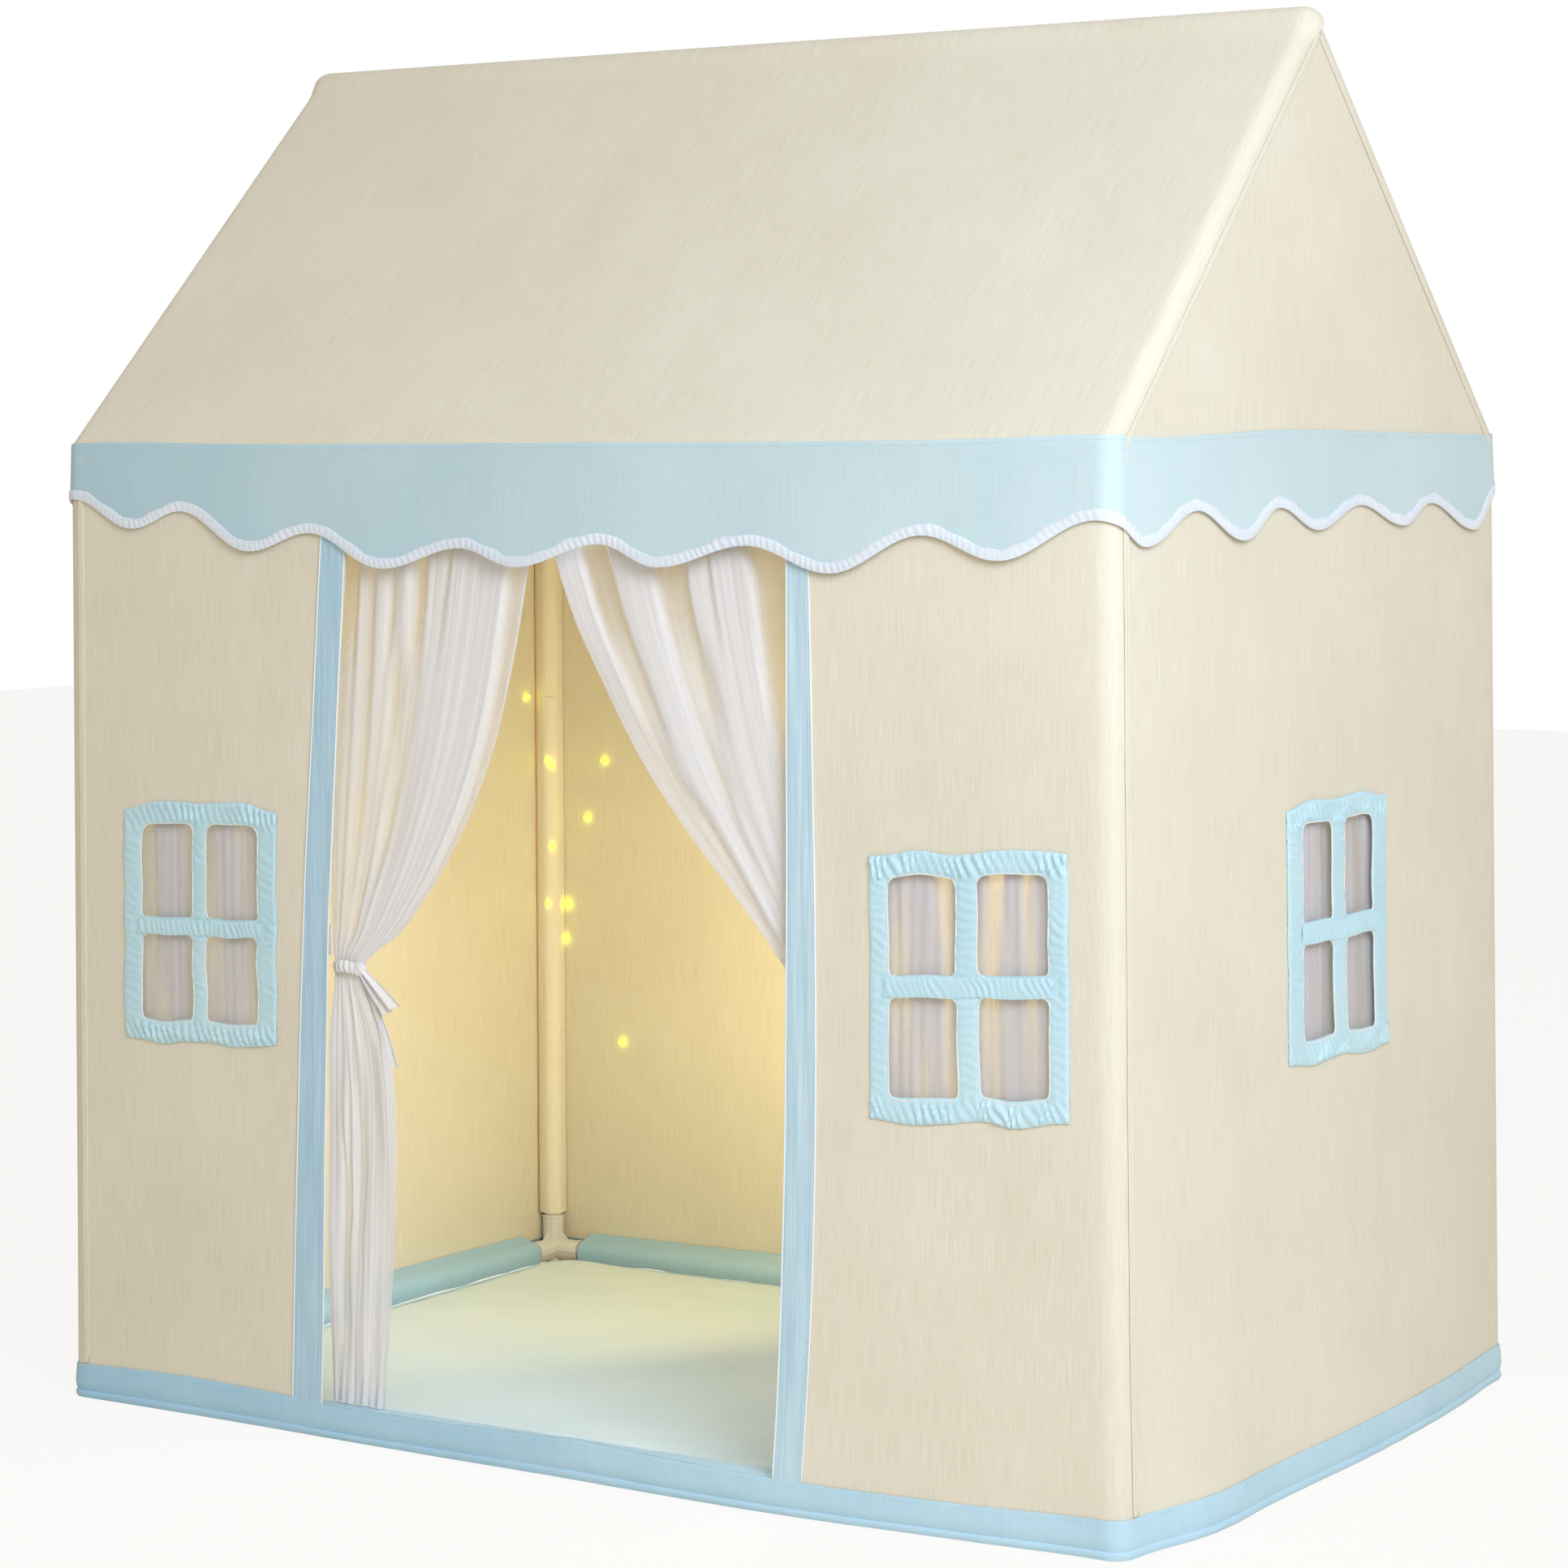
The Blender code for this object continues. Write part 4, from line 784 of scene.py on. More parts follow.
def valance_rise(s, z):
    """How far the valance stands off the wall: tight at its seam, free and wavy at the lobes."""
    down = np.clip((0.9595 - z) / 0.11, 0, 1)
    lobe = np.clip((0.900 - scallop(s)) / 0.05, 0, 1)
    wave = 0.6 + 0.4 * ripple(s, z * 0.3, 41, 0.21)
    wrapped = np.mod(s, AROUND)
    near = np.full(wrapped.shape, 9.0)
    for corner in (POST_X, RIGHT_START + 2 * POST_Y, BACK_START + 2 * POST_X, LEFT_START + 2 * POST_Y):
        near = np.minimum(near, abs(wrapped - corner - QUARTER / 2))
    held = 0.35 + 0.65 * np.clip(near / 0.09, 0, 1)
    sloped = np.zeros(wrapped.shape)
    for middle in (0.0, BACK_START + POST_X, AROUND):
        past_post = POST_X + QUARTER / 2 - abs(wrapped - middle)
        sloped = np.maximum(sloped, np.clip(past_post / QUARTER + 0.5, 0, 1))
    over = np.clip((z - EAVE_Z) / WRAP, 0, 0.95)
    tuck = WRAP * (1 - np.sqrt(1 - over**2)) * sloped
    return 0.0011 + (0.0030 + 0.0052 * wave * held * (0.5 + 0.5 * lobe)) * down**1.2 - tuck


def on_valance(s, z, lift=0.0):
    """Points on the outside of the valance, lifted off it by a distance."""
    return on_cover(s, z, valance_rise(s, z) - give(s, z) + lift)


valance_s = all_round(900)[:, None]
valance_t = np.concatenate((np.linspace(0, 0.86, 14), np.linspace(0.88, 1, 7)))[None, :]
valance_top = smooth_line(np.mod(valance_s, half_way), VALANCE_TOP)
valance_z = between(scallop(valance_s), valance_top, valance_t)
valance = cloth_piece(
    "valance", on_valance(valance_s, valance_z), 0.0009, blue_cotton, loop=True,
    cut=together(valance_s + half_way, valance_z),
)
fixed(valance, "tent", "blue_cotton", "valance_front", "valance_right", "valance_back", "valance_left")

BINDING_WIDTH = 0.0090
tape_s = all_round(2800)
tape_z = scallop(tape_s)
tape_run = together(*(np.roll(line, -1) - np.roll(line, 1) for line in (tape_s, tape_z)))
tape_run[:, 0] = np.mod(tape_run[:, 0] + half_way, AROUND) - half_way
tape_run /= np.linalg.norm(tape_run, axis=1, keepdims=True)
tape_width = BINDING_WIDTH + 0.0009 * ripple(tape_s, 0.0, 51, 0.030)
gathered = np.clip(0.65 + 0.5 * ripple(tape_s, 0.0, 53, 0.12), 0.15, 1.0)
tape_rows = []
for part, side in ((1.0, 1), (0.82, 1), (0.5, 1), (0.2, 1), (0.0, 1), (0.0, -1), (0.25, -1), (0.6, -1), (1.0, -1)):
    belly = 1.0 - (2 * part - 1) ** 4
    slant = tape_s + 0.0035 * part
    pucker = (0.5 + 0.5 * np.sin(2 * math.pi * slant / 0.0068 + 2.6 * ripple(tape_s, 0.0, 52, 0.045))) * gathered
    if side > 0:
        off = 0.0004 + belly * (0.0004 + 0.0013 * pucker)
    else:
        off = -(0.0009 + 0.0003 + belly * 0.0004)
    up = part * tape_width - 0.0009 * (part == 0.0)
    tape_rows.append(on_valance(tape_s - up * tape_run[:, 1], tape_z + up * tape_run[:, 0], off))
tape_rows.append(tape_rows[0])
tape_face = np.stack(tape_rows, axis=1)


def closed_ring(name, face, finish, cut, crisp=60.0):
    """A closed skin from a grid whose columns join round and whose last row is its first."""
    columns, rows = face.shape[:2]
    index = np.arange(columns * (rows - 1)).reshape(columns, rows - 1)
    index = np.concatenate((index, index[:, :1]), axis=1)
    grid = np.arange(columns * rows).reshape(columns, rows)
    after, grid_after = np.roll(index, -1, axis=0), np.roll(grid, -1, axis=0)
    quads = together(index[:, :-1], index[:, 1:], after[:, 1:], after[:, :-1]).reshape(-1, 4)
    spots = together(grid[:, :-1], grid[:, 1:], grid_after[:, 1:], grid_after[:, :-1]).ravel()
    girth = cut[:, 0, 0].max() + (cut[1, 0, 0] - cut[0, 0, 0])
    corner_cut = carried_on(cut.reshape(-1, 2)[spots], girth)
    return new_piece(name, face[:, :-1].reshape(-1, 3), quads.tolist(), corner_cut, finish, crisp)


tape_cut = together(tape_s[:, None] + half_way, np.linspace(0, 0.02, 10)[None, :])
valance_tape = closed_ring("valance_binding", tape_face, binding_cotton, tape_cut)
fixed(valance_tape, "tent", "blue_cotton")

# Hem casing. A blue strip folded over the base rails and sewn to the foot of the walls, and in the doorway it is
# the threshold. Its outside swells where the cover stands off the rail, and its inside goes over the rail.
HEM_TOP = (
    (0.0, 0.0365), (0.018, 0.0375), (0.109, 0.0350), (0.20, 0.0330), (0.30, 0.0315), (0.455, 0.0320),
    (0.5847, 0.0345), (0.62, 0.0345), (0.80, 0.0340), (1.10, 0.0345), (1.39, 0.0350), (1.90, 0.0345),
    (2.30, 0.0350), (2.90, 0.0345), (3.40, 0.0330), (3.4338, 0.0340), (3.5338, 0.0370), (3.6388, 0.0362),
    (3.7048, 0.0345), (3.7458, 0.0320), (3.8398, 0.0325), (3.9368, 0.0345), (4.0138, 0.0365),
)
HEM_PROFILE = (
    (0.0, 0.0016), (0.07, 0.0030), (0.15, 0.0033), (0.19, 0.0024), (0.215, 0.0009), (0.245, 0.0014), (0.31, 0.0024),
    (0.45, 0.0030), (0.62, 0.0028), (0.78, 0.0023), (0.88, 0.0019), (0.95, 0.0020), (1.0, 0.0013),
)
# Painted shade: this cotton is painted darker and bluer towards the tent's left end.
hem_cotton = woven_cotton(
    "hem_cotton", (0.560, 0.770, 0.910), (0.450, 0.670, 0.830), 0.35, 0.0022, 0.0010, 0.14, 0.88, 0.18, painted_left_shade=True
)
hem_s = all_round(700)[:, None]
hem_t = np.array([part for part, _ in HEM_PROFILE])[None, :]
hem_z = 0.0004 + (smooth_line(np.mod(hem_s, AROUND), HEM_TOP) - 0.0004) * hem_t
hem_swell = np.array([lift for _, lift in HEM_PROFILE])[None, :]
hem_lift = 0.0013 + (hem_swell - 0.0013) * (0.85 + 0.25 * ripple(hem_s, 0.0, 61, 0.16))
hem_face = on_cover(hem_s, hem_z, hem_lift + 0.0003 * ripple(hem_s, hem_z * 2, 62, 0.03))
hem = cloth_piece(
    "hem", hem_face, 0.0010, hem_cotton, loop=True,
    cut=together(hem_s + half_way, hem_z),
)
fixed(hem, "tent", "blue_cotton", "hem_band_front", "hem_band_right", "hem_band_back", "hem_band_left")
CASING = 0.0137
RAIL_Z = 0.015
for name, start, end in (
    ("hem_inside_front", on_front(-0.540), on_front(0.540)),
    ("hem_inside_right", on_right(-0.350), on_right(0.350)),
    ("hem_inside_back", on_back(0.540), on_back(-0.540)),
    ("hem_inside_left", on_left(0.350), on_left(-0.350)),
):
    s = np.linspace(start, end, int((end - start) / 0.008))
    x, y, out_x, out_y = outline(s)
    top = smooth_line(np.mod(s, AROUND), HEM_TOP) - 0.0012
    swell = give(s, top)
    rows = []
    for part in np.linspace(0, 1, 5):
        off = WRAP - 0.0016 + swell * (1 - part) ** 1.5 - part * WRAP
        rows.append((off, between(top, RAIL_Z + CASING, part)))
    for angle in np.linspace(math.pi / 2, math.pi, 6)[1:]:
        rows.append((CASING * math.cos(angle) + 0 * s, RAIL_Z + CASING * math.sin(angle) + 0 * s))
    for z in (0.011, 0.007):
        rows.append((-CASING + 0 * s, z + 0.0008 * ripple(s, 0.0, 63, 0.09)))
    crumple = 0.0004 * ripple(s, 0.0, 64, 0.035)
    face = np.stack([
        together(x + out_x * (off - WRAP + crumple), y + out_y * (off - WRAP + crumple), z + crumple)
        for off, z in rows
    ], axis=1)
    casing = cloth_piece(name, face[::-1], 0.0008, hem_cotton)
    fixed(casing, "tent", "blue_cotton")

# Door facings. The raw edge of each front wall is faced with a folded blue strip, wide on the left and narrower on
# the right. It is creased along its length, and a thin white cord is sewn into both of its edges.
LEFT_OUTER = ((0.033, -0.3085), (0.129, -0.307), (0.287, -0.302), (0.398, -0.298), (0.477, -0.294), (0.556, -0.290),
              (0.683, -0.281), (0.856, -0.270), (0.905, -0.266))
LEFT_INNER = ((0.033, -0.2710), (0.133, -0.270), (0.290, -0.268), (0.400, -0.265), (0.479, -0.263), (0.558, -0.259),
              (0.684, -0.251), (0.840, -0.241), (0.905, -0.237))
RIGHT_INNER = ((0.029, 0.2570), (0.230, 0.260), (0.455, 0.264), (0.700, 0.266), (0.905, 0.2675))
RIGHT_OUTER = ((0.029, 0.2870), (0.230, 0.292), (0.457, 0.295), (0.700, 0.2925), (0.905, 0.2895))


def sewn_strip(name, left_edge, right_edge, levels, columns, lift, thickness, finish, crease, seed):
    """A strip of cloth sewn on the wall between two upright lines, with creases along it."""
    first, final = smooth_line(levels, left_edge), smooth_line(levels, right_edge)
    share = np.linspace(0, 1, columns)[:, None]
    s, z = np.broadcast_arrays(between(first[None, :], final[None, :], share), levels[None, :])
    puff = np.sin(np.pi * share) ** 0.5 * (0.5 + crease * ripple(s * 5.0, z * 0.5, seed, 0.10))
    face = on_cover(s, z, lift + thickness + 0.0009 * puff)
    return cloth_piece(name, face, thickness, finish, cut=together(s, z))


# Painted shade: this cotton is painted darker and bluer towards the tent's left end.
facing_cotton = woven_cotton(
    "facing_cotton", (0.650, 0.800, 0.900), (0.430, 0.640, 0.790), 0.75, 0.0036, 0.0010, 0.30, 0.88, 0.18, painted_left_shade=True
)
piping_white = woven_cotton(
    "piping_white", (0.90, 0.92, 0.93), (0.80, 0.84, 0.87), 0.30, 0.0016, 0.0008, 0.05, 0.80, 0.20
)
trim_levels = steps(0.030, 0.008, HEADER_FOOT)
for side, outer, inner, wide, seed in (
    ("left", LEFT_OUTER, LEFT_INNER, 0.0350, 71), ("right", RIGHT_OUTER, RIGHT_INNER, 0.0285, 74),
):
    first, final = (outer, inner) if side == "left" else (inner, outer)
    facing = sewn_strip(
        side + "_door_facing", first, final, trim_levels, 15, 0.0001, 0.0009, facing_cotton, 0.75, seed
    )
    fixed(facing, "tent", "blue_cotton", "door_trim_" + side)
    for place, line in (("outer", outer), ("inner", inner)):
        cord = on_cover(smooth_line(trim_levels, line), trim_levels, 0.0009)
        fixed(cord_along("door_piping_%s_%s" % (side, place), cord, 0.0009, piping_white), "tent", "blue_cotton")

# Windows. Three cut-outs, each edged by a ruched blue band that is one frame with its upright bar, with the level
# bar sewn over it and its pane edges corded in white. Behind each hangs a small sheer of net, gathered at its top.
band_cotton = woven_cotton(
    "band_cotton", (0.610, 0.830, 0.930), (0.500, 0.745, 0.870), 0.25, 0.0020, 0.0009, 0.12, 0.85, 0.18
)


def net_cloth(name, tone, thin, dense, thread_pitch):
    """White net, partly see-through: dense where the cloth lies in folds, which the piece's layers say."""
    net, node, shade = new_finish(name)
    where = node("UVMap", "UV", uv_map="cut")
    pleats = node("Mapping", "Vector", {"Vector": where, "Scale": (1.0 / thread_pitch, 0.06 / thread_pitch, 1.0)})
    fold = node("TexNoise", "Fac", {"Vector": pleats, "Scale": 1.0, "Detail": 3.0})
    threads = node("TexNoise", "Fac", {"Vector": where, "Scale": 1400.0, "Detail": 1.0})
    softly = reckon(node, "MULTIPLY_ADD", fold, 0.32, node("Attribute", "Fac", attribute_name="layers"))
    finely = reckon(node, "MULTIPLY_ADD", threads, 0.30, softly)
    cover = node("MapRange", "Result", {"Value": finely, "From Min": 0.31, "From Max": 1.31})
    through = reckon(node, "POWER", cover, 1.6)
    shown = node("MapRange", "Result", {"Value": through, "To Min": thin, "To Max": dense})
    tint = blend(node, fold, [0.94 * c for c in tone], tone)
    shade({"Base Color": tint, "Alpha": shown, "Roughness": 0.85, "Specular IOR Level": 0.2, "Sheen Weight": 0.3})
    return net


def set_density(piece, density):
    """Stores on a net piece how densely its folds lie, for both faces of the cloth."""
    both = np.concatenate((density.ravel(), density.ravel())).astype(np.float32)
    layer = piece.data.attributes.new("layers", "FLOAT", "POINT")
    layer.data.foreach_set("value", both)
    return piece


def folds_table(u, z, table):
    """Density over the cloth, read between rows of (height, ((place across, density), ...))."""
    heights = np.array([height for height, _ in table])
    values = np.stack([np.interp(u.ravel(), *np.array(row).T) for _, row in table])
    spot = np.clip(np.searchsorted(heights, z.ravel()) - 1, 0, len(heights) - 2)
    t = np.clip((z.ravel() - heights[spot]) / (heights[spot + 1] - heights[spot]), 0, 1)
    t = t * t * (3 - 2 * t)
    here = np.arange(len(spot))
    return between(values[spot, here], values[spot + 1, here], t)


def soften(density, times):
    """Softens a density across the cloth, because no fold of net ends sharply."""
    for _ in range(times):
        wide = np.pad(density, ((1, 1), (0, 0)), mode="edge")
        density = wide[:-2] * 0.25 + wide[1:-1] * 0.5 + wide[2:] * 0.25
    return density


# Painted shade: the sheers' white tulle is painted in a greyer tone than the curtains' copy of it.
window_net_painted_shade = net_cloth("window_net_painted_shade", (0.68, 0.65, 0.70), 0.27, 0.97, 0.006)
WINDOWS = {
    "front_left": (
        on_front(-0.4260), 0.197, 0.482, 0.236, 0.0232, 0.0165, 0.0140, (0.001, 0.005, 0.000, 0.008, 0.005),
        "front_left_panel",
    ),
    "front_right": (
        on_front(0.4525), 0.200, 0.4815, 0.237, 0.0190, 0.0210, 0.0165, (-0.001, 0.012, 0.000, 0.000, 0.000),
        "front_right_panel",
    ),
    "end": (
        on_right(0.0230), 0.2175, 0.4975, 0.241, 0.0310, 0.0270, 0.0168, (0.000, -0.002, -0.0035, 0.004, 0.000),
        "right_end_panel",
    ),
}
BAND_HEIGHT = 0.0200
PANE_FILLET = 0.0085
SEAM_INSET = 0.0021


def rounded_ring(low_x, high_x, low_y, high_y, radius, start, points):
    """The closed line round a rectangle with rounded corners. The first corner starts at a number of half turns."""
    ring = []
    for begin in (start, start + 0.5, start + 1.0, start + 1.5):
        middle = (begin + 0.25) * math.pi
        in_x = high_x - radius if math.cos(middle) > 0 else low_x + radius
        in_y = high_y - radius if math.sin(middle) > 0 else low_y + radius
        for turn in np.linspace(begin * math.pi, (begin + 0.5) * math.pi, points):
            ring.append((in_x + radius * math.cos(turn), in_y + radius * math.sin(turn)))
    return np.array(ring + ring[:1])


def evenly(ring, count):
    """A closed line again, with its points evenly spaced and its end left off."""
    far = way_along(ring)
    even = np.linspace(0, far[-1], count)[:-1]
    return together(*(np.interp(even, far, ring[:, axis]) for axis in range(ring.shape[1])))


def window_band(name, place, width, middle, height, band, bar, bar_z, warp, seed):
    """The frame of a window: the outer band with the upright bar as one ruched piece with four rounded panes, and
    the level bar sewn over it. Also gives the lines of its pane edges and of its outer seam."""
    side_a, side_b = width / 2 - band, height / 2 - BAND_HEIGHT
    line_a, line_b = (
        steps(-size / 2, 0.0024, -side, 0.0026, -cross / 2, 0.0024, cross / 2, 0.0026, side, 0.0024, size / 2)
        for size, side, cross in ((width, side_a, bar), (height, side_b, bar_z))
    )
    a, b = np.meshgrid(line_a, line_b, indexing="ij")
    mid_a, mid_b = (abs(((line[:-1] + line[1:])[:, :-1]) / 2) for line in (a, b))
    cells = ~((mid_a > bar / 2) & (mid_a < side_a) & (mid_b > bar_z / 2) & (mid_b < side_b))
    from_pane = np.maximum.reduce((bar / 2 - abs(a), abs(a) - side_a))
    from_pane = np.maximum.reduce((from_pane, bar_z / 2 - abs(b), abs(b) - side_b))
    panes = []
    for sign_a, sign_b in itertools.product((-1, 1), (-1, 1)):
        for end_a, end_b in itertools.product((bar / 2, side_a), (bar_z / 2, side_b)):
            corner_a, corner_b = sign_a * end_a, sign_b * end_b
            into_a = sign_a * (1 if end_a == bar / 2 else -1)
            into_b = sign_b * (1 if end_b == bar_z / 2 else -1)
            gap_a, gap_b = (a - corner_a) * into_a, (b - corner_b) * into_b
            along_a = (abs(gap_b) < 1e-6) & (gap_a > -1e-6) & (gap_a < PANE_FILLET)
            along_b = (abs(gap_a) < 1e-6) & (gap_b > 1e-6) & (gap_b < PANE_FILLET)
            turn_a = math.pi / 4 * (1 - gap_a / PANE_FILLET)
            turn_b = math.pi / 4 * (1 - gap_b / PANE_FILLET)
            new_a = PANE_FILLET * (1 - np.where(along_a, np.sin(turn_a), np.cos(turn_b)))
            new_b = PANE_FILLET * (1 - np.where(along_a, np.cos(turn_a), np.sin(turn_b)))
            a = np.where(along_a | along_b, corner_a + into_a * new_a, a)
            b = np.where(along_a | along_b, corner_b + into_b * new_b, b)
        low_a, high_a = sorted((sign_a * bar / 2, sign_a * side_a))
        low_b, high_b = sorted((sign_b * bar_z / 2, sign_b * side_b))
        panes.append(evenly(rounded_ring(low_a, high_a, low_b, high_b, PANE_FILLET, 0.0, 6), 90))

    def sway(a, b):
        """Where the sewn band really lies: its edges wander by a millimetre or two and the frame is a little askew."""
        off_a = 0.0011 * ripple(b, a * 0.3, seed, 0.055) + warp[0] * b / height
        bow = 0.0021 * np.cos(4 * np.pi * a / width) * np.sign(b) * np.clip(abs(b) / (height / 2), 0, 1) ** 2
        off_b = 0.0010 * ripple(a, b * 0.3, seed + 1, 0.05) + warp[1] * a / width - bow
        off_b = off_b + (warp[2] * a / width + warp[4]) * np.clip(-2 * b / height, 0, 1)
        off_b = off_b + warp[3] * np.clip(1 - (2 * a / width) ** 2, 0, 1) * np.clip(2 * b / height, 0, 1)
        return place + a + off_a, middle + b + off_b

    edge = np.minimum(width / 2 - abs(a), height / 2 - abs(b))
    on_upright = (abs(b) < side_b) & ((abs(a) > side_a) | (abs(a) < bar / 2))
    along = np.where(on_upright, b + 0.35 * a, a + 0.45 * b)
    pitch = np.where(on_upright, 0.0088, 0.0086)
    gather = 0.5 + 0.5 * np.sin(2 * math.pi * along / pitch + 2.4 * ripple(a, b, seed + 2, 0.035))
    on_bar = (abs(b) < bar_z / 2 + 0.0001) & (abs(a) < width / 2 - band / 2)
    strength = np.where(on_upright, 0.75, 1.5) * np.clip(0.85 + 0.40 * ripple(a, b, seed + 3, 0.06), 0.45, 1.2)
    strength = np.where(on_bar, 0.0, strength)
    inside = np.clip(np.minimum(edge, from_pane) / 0.0035, 0, 1) ** 0.8
    swelling = (0.22 + 0.78 * np.clip(edge / 0.002, 0, 1)) * (0.35 + 0.65 * np.clip(from_pane / 0.003, 0, 1))
    lift = 0.0011 + inside * 0.0006 + strength * gather * 0.0019 * swelling
    piece = cloth_piece(
        name, on_cover(*sway(a, b), lift), 0.0009, band_cotton, cells=cells, cut=together(a, b)
    )
    reach = side_a + 0.0040
    a, b = np.meshgrid(np.linspace(-reach, reach, 120), np.linspace(-1, 1, 11) * (bar_z / 2 + 0.0007), indexing="ij")
    rounded = np.sqrt(np.clip(1 - (b / (bar_z / 2 + 0.0009)) ** 2, 0, 1))
    gather = np.sin(2 * math.pi * (a + 0.4 * b) / 0.0068 + 2.6 * ripple(a, b, seed + 4, 0.03))
    lift = 0.0024 + rounded * (0.0009 + 0.0008 * gather * (0.7 + 0.5 * ripple(a, b, seed + 5, 0.04)))
    level = cloth_piece(
        name.replace("window_band", "level_bar"), on_cover(*sway(a, b), lift), 0.0009, band_cotton, cut=together(a, b)
    )
    pane_lines = [on_cover(*sway(*pane.T), 0.0012) for pane in panes]
    across, up = width / 2 - SEAM_INSET, height / 2 - SEAM_INSET
    outer = evenly(rounded_ring(-across, across, -up, up, 0.0, -0.5, 1), 240)
    return piece, level, pane_lines, on_cover(*sway(*outer.T), 0.0021)


SHEER_FOLDS = {
    "front_left": (
        (0.36, (
            (0, 0.55), (0.12, 0.6), (0.22, 0.15), (0.3, 0.75), (0.44, 0.6), (0.5, 0.35), (0.62, 0.7), (0.78, 0.62),
            (0.85, 0.3), (0.92, 0.7), (1, 0.6),
        )),
        (0.47, (
            (0, 0.30), (0.14, 0.25), (0.2, 0.75), (0.36, 0.85), (0.44, 0.4), (0.52, 0.2), (0.6, 0.45), (0.7, 0.85),
            (0.86, 0.55), (0.92, 0.8), (1, 0.5),
        )),
        (0.60, (
            (0, 0.15), (0.12, 0.15), (0.18, 0.85), (0.3, 0.95), (0.38, 0.45), (0.5, 0.15), (0.56, 0.55),
            (0.66, 0.95), (0.76, 0.45), (0.82, 0.75), (0.93, 0.95), (1, 0.4),
        )),
    ),
    "front_right": (
        (0.36, (
            (0, 0.6), (0.17, 0.72), (0.25, 0.30), (0.28, 0.68), (0.37, 0.45), (0.45, 0.25), (0.52, 0.68),
            (0.62, 0.35), (0.72, 0.8), (0.84, 0.62), (0.90, 0.6), (0.97, 0.35), (1, 0.5),
        )),
        (0.48, (
            (0, 0.4), (0.13, 0.45), (0.20, 0.75), (0.34, 0.82), (0.37, 0.25), (0.40, 0.72), (0.48, 0.7),
            (0.55, 0.42), (0.62, 0.22), (0.66, 0.7), (0.78, 0.76), (0.82, 0.24), (0.87, 0.75), (0.97, 0.72),
            (1, 0.5),
        )),
        (0.60, (
            (0, 0.6), (0.12, 0.9), (0.17, 0.7), (0.22, 0.98), (0.30, 0.8), (0.34, 0.12), (0.38, 0.2), (0.42, 0.9),
            (0.5, 0.6), (0.58, 0.8), (0.61, 0.12), (0.67, 0.15), (0.70, 0.95), (0.76, 0.9), (0.79, 0.12),
            (0.83, 0.5), (0.87, 0.9), (0.94, 0.75), (1, 0.9),
        )),
    ),
    "end": (
        (0.37, (
            (0, 0.4), (0.12, 0.45), (0.25, 0.8), (0.34, 0.7), (0.4, 0.25), (0.5, 0.3), (0.6, 0.75), (0.7, 0.8),
            (0.78, 0.3), (0.9, 0.7), (1, 0.4),
        )),
        (0.50, (
            (0, 0.25), (0.14, 0.2), (0.24, 0.85), (0.36, 0.7), (0.42, 0.25), (0.52, 0.3), (0.62, 0.8), (0.72, 0.75),
            (0.8, 0.25), (0.9, 0.8), (1, 0.3),
        )),
        (0.62, (
            (0, 0.15), (0.12, 0.1), (0.2, 0.9), (0.34, 0.85), (0.4, 0.15), (0.5, 0.3), (0.6, 0.95), (0.7, 0.7),
            (0.76, 0.15), (0.86, 0.95), (1, 0.3),
        )),
    ),
}
SHEER_INSET = 0.0065
window_rows = []
for window, (place, width, middle, height, band, bar, bar_z, warp, wall) in WINDOWS.items():
    seed = {"front_left": 81, "front_right": 91, "end": 101}[window]
    frame_piece, level_bar, pane_lines, outer_line = window_band(
        window + "_window_band", place, width, middle, height, band, bar, bar_z, warp, seed
    )
    window_rows.append(outer_line)
    fixed(frame_piece, "tent", "blue_cotton", window + "_window_frame")
    fixed(level_bar, "tent", "blue_cotton")
    for number, pane_line in enumerate(pane_lines):
        cord_name = "%s_pane_cord_%d" % (window, number + 1)
        fixed(cord_along(cord_name, pane_line, 0.0008, piping_white, closed=True, sides=6), "tent", "blue_cotton")
    share = np.linspace(0, 1, 170)[:, None]
    tall = np.linspace(-1, 1, 46)[None, :]
    s, z = np.broadcast_arrays(
        place + (2 * share - 1) * (width / 2 - SHEER_INSET), middle + tall * (height / 2 - SHEER_INSET)
    )
    dense = soften(folds_table(share + 0 * tall, z, SHEER_FOLDS[window]).reshape(z.shape), 3)
    fine = 0.0006 * ripple(share, tall * 0.02, seed + 6, 0.07)
    x, y, out_x, out_y = outline(s)
    slack = give(s, z) - (0.0072 - 0.0024 * dense + fine)
    sheer = cloth_piece(
        window + "_sheer", together(x + out_x * slack, y + out_y * slack, z), 0.0003, window_net_painted_shade,
        cut=together(s * 1.3, z), crisp=80.0,
    )
    fixed(set_density(sheer, dense), "tent", "white_tulle", window + "_window_sheer")

# Door curtains. Two panels of soft white tulle sewn in pleats behind the header and drawn to the jambs at half
# their height. Above the tie the folds fan out to the header, and below it each panel falls nearly to the mat.
CURTAIN_TOP = 0.915
WAIST_Z = 0.456
CURTAIN_Y = -0.3905
CURTAIN_FRONT = -0.4072
CURTAIN_BACK = -0.3786
CURTAIN_FOOT = 0.0310
LEFT_INNER_EDGE = (
    (0.030, -0.2070), (0.060, -0.2050), (0.139, -0.2000), (0.217, -0.1960), (0.295, -0.1920), (0.357, -0.1960),
    (0.400, -0.2080), (0.440, -0.2270), (0.456, -0.2310), (0.470, -0.2160), (0.482, -0.1970), (0.523, -0.1570),
    (0.579, -0.1180), (0.658, -0.0790), (0.751, -0.0510), (0.839, -0.0330), (0.915, -0.0210),
)
LEFT_JAMB_EDGE = (
    (0.030, -0.2725), (0.200, -0.2735), (0.380, -0.2700), (0.440, -0.2665), (0.456, -0.2660), (0.475, -0.2690),
    (0.560, -0.2705), (0.700, -0.2660), (0.915, -0.2580),
)
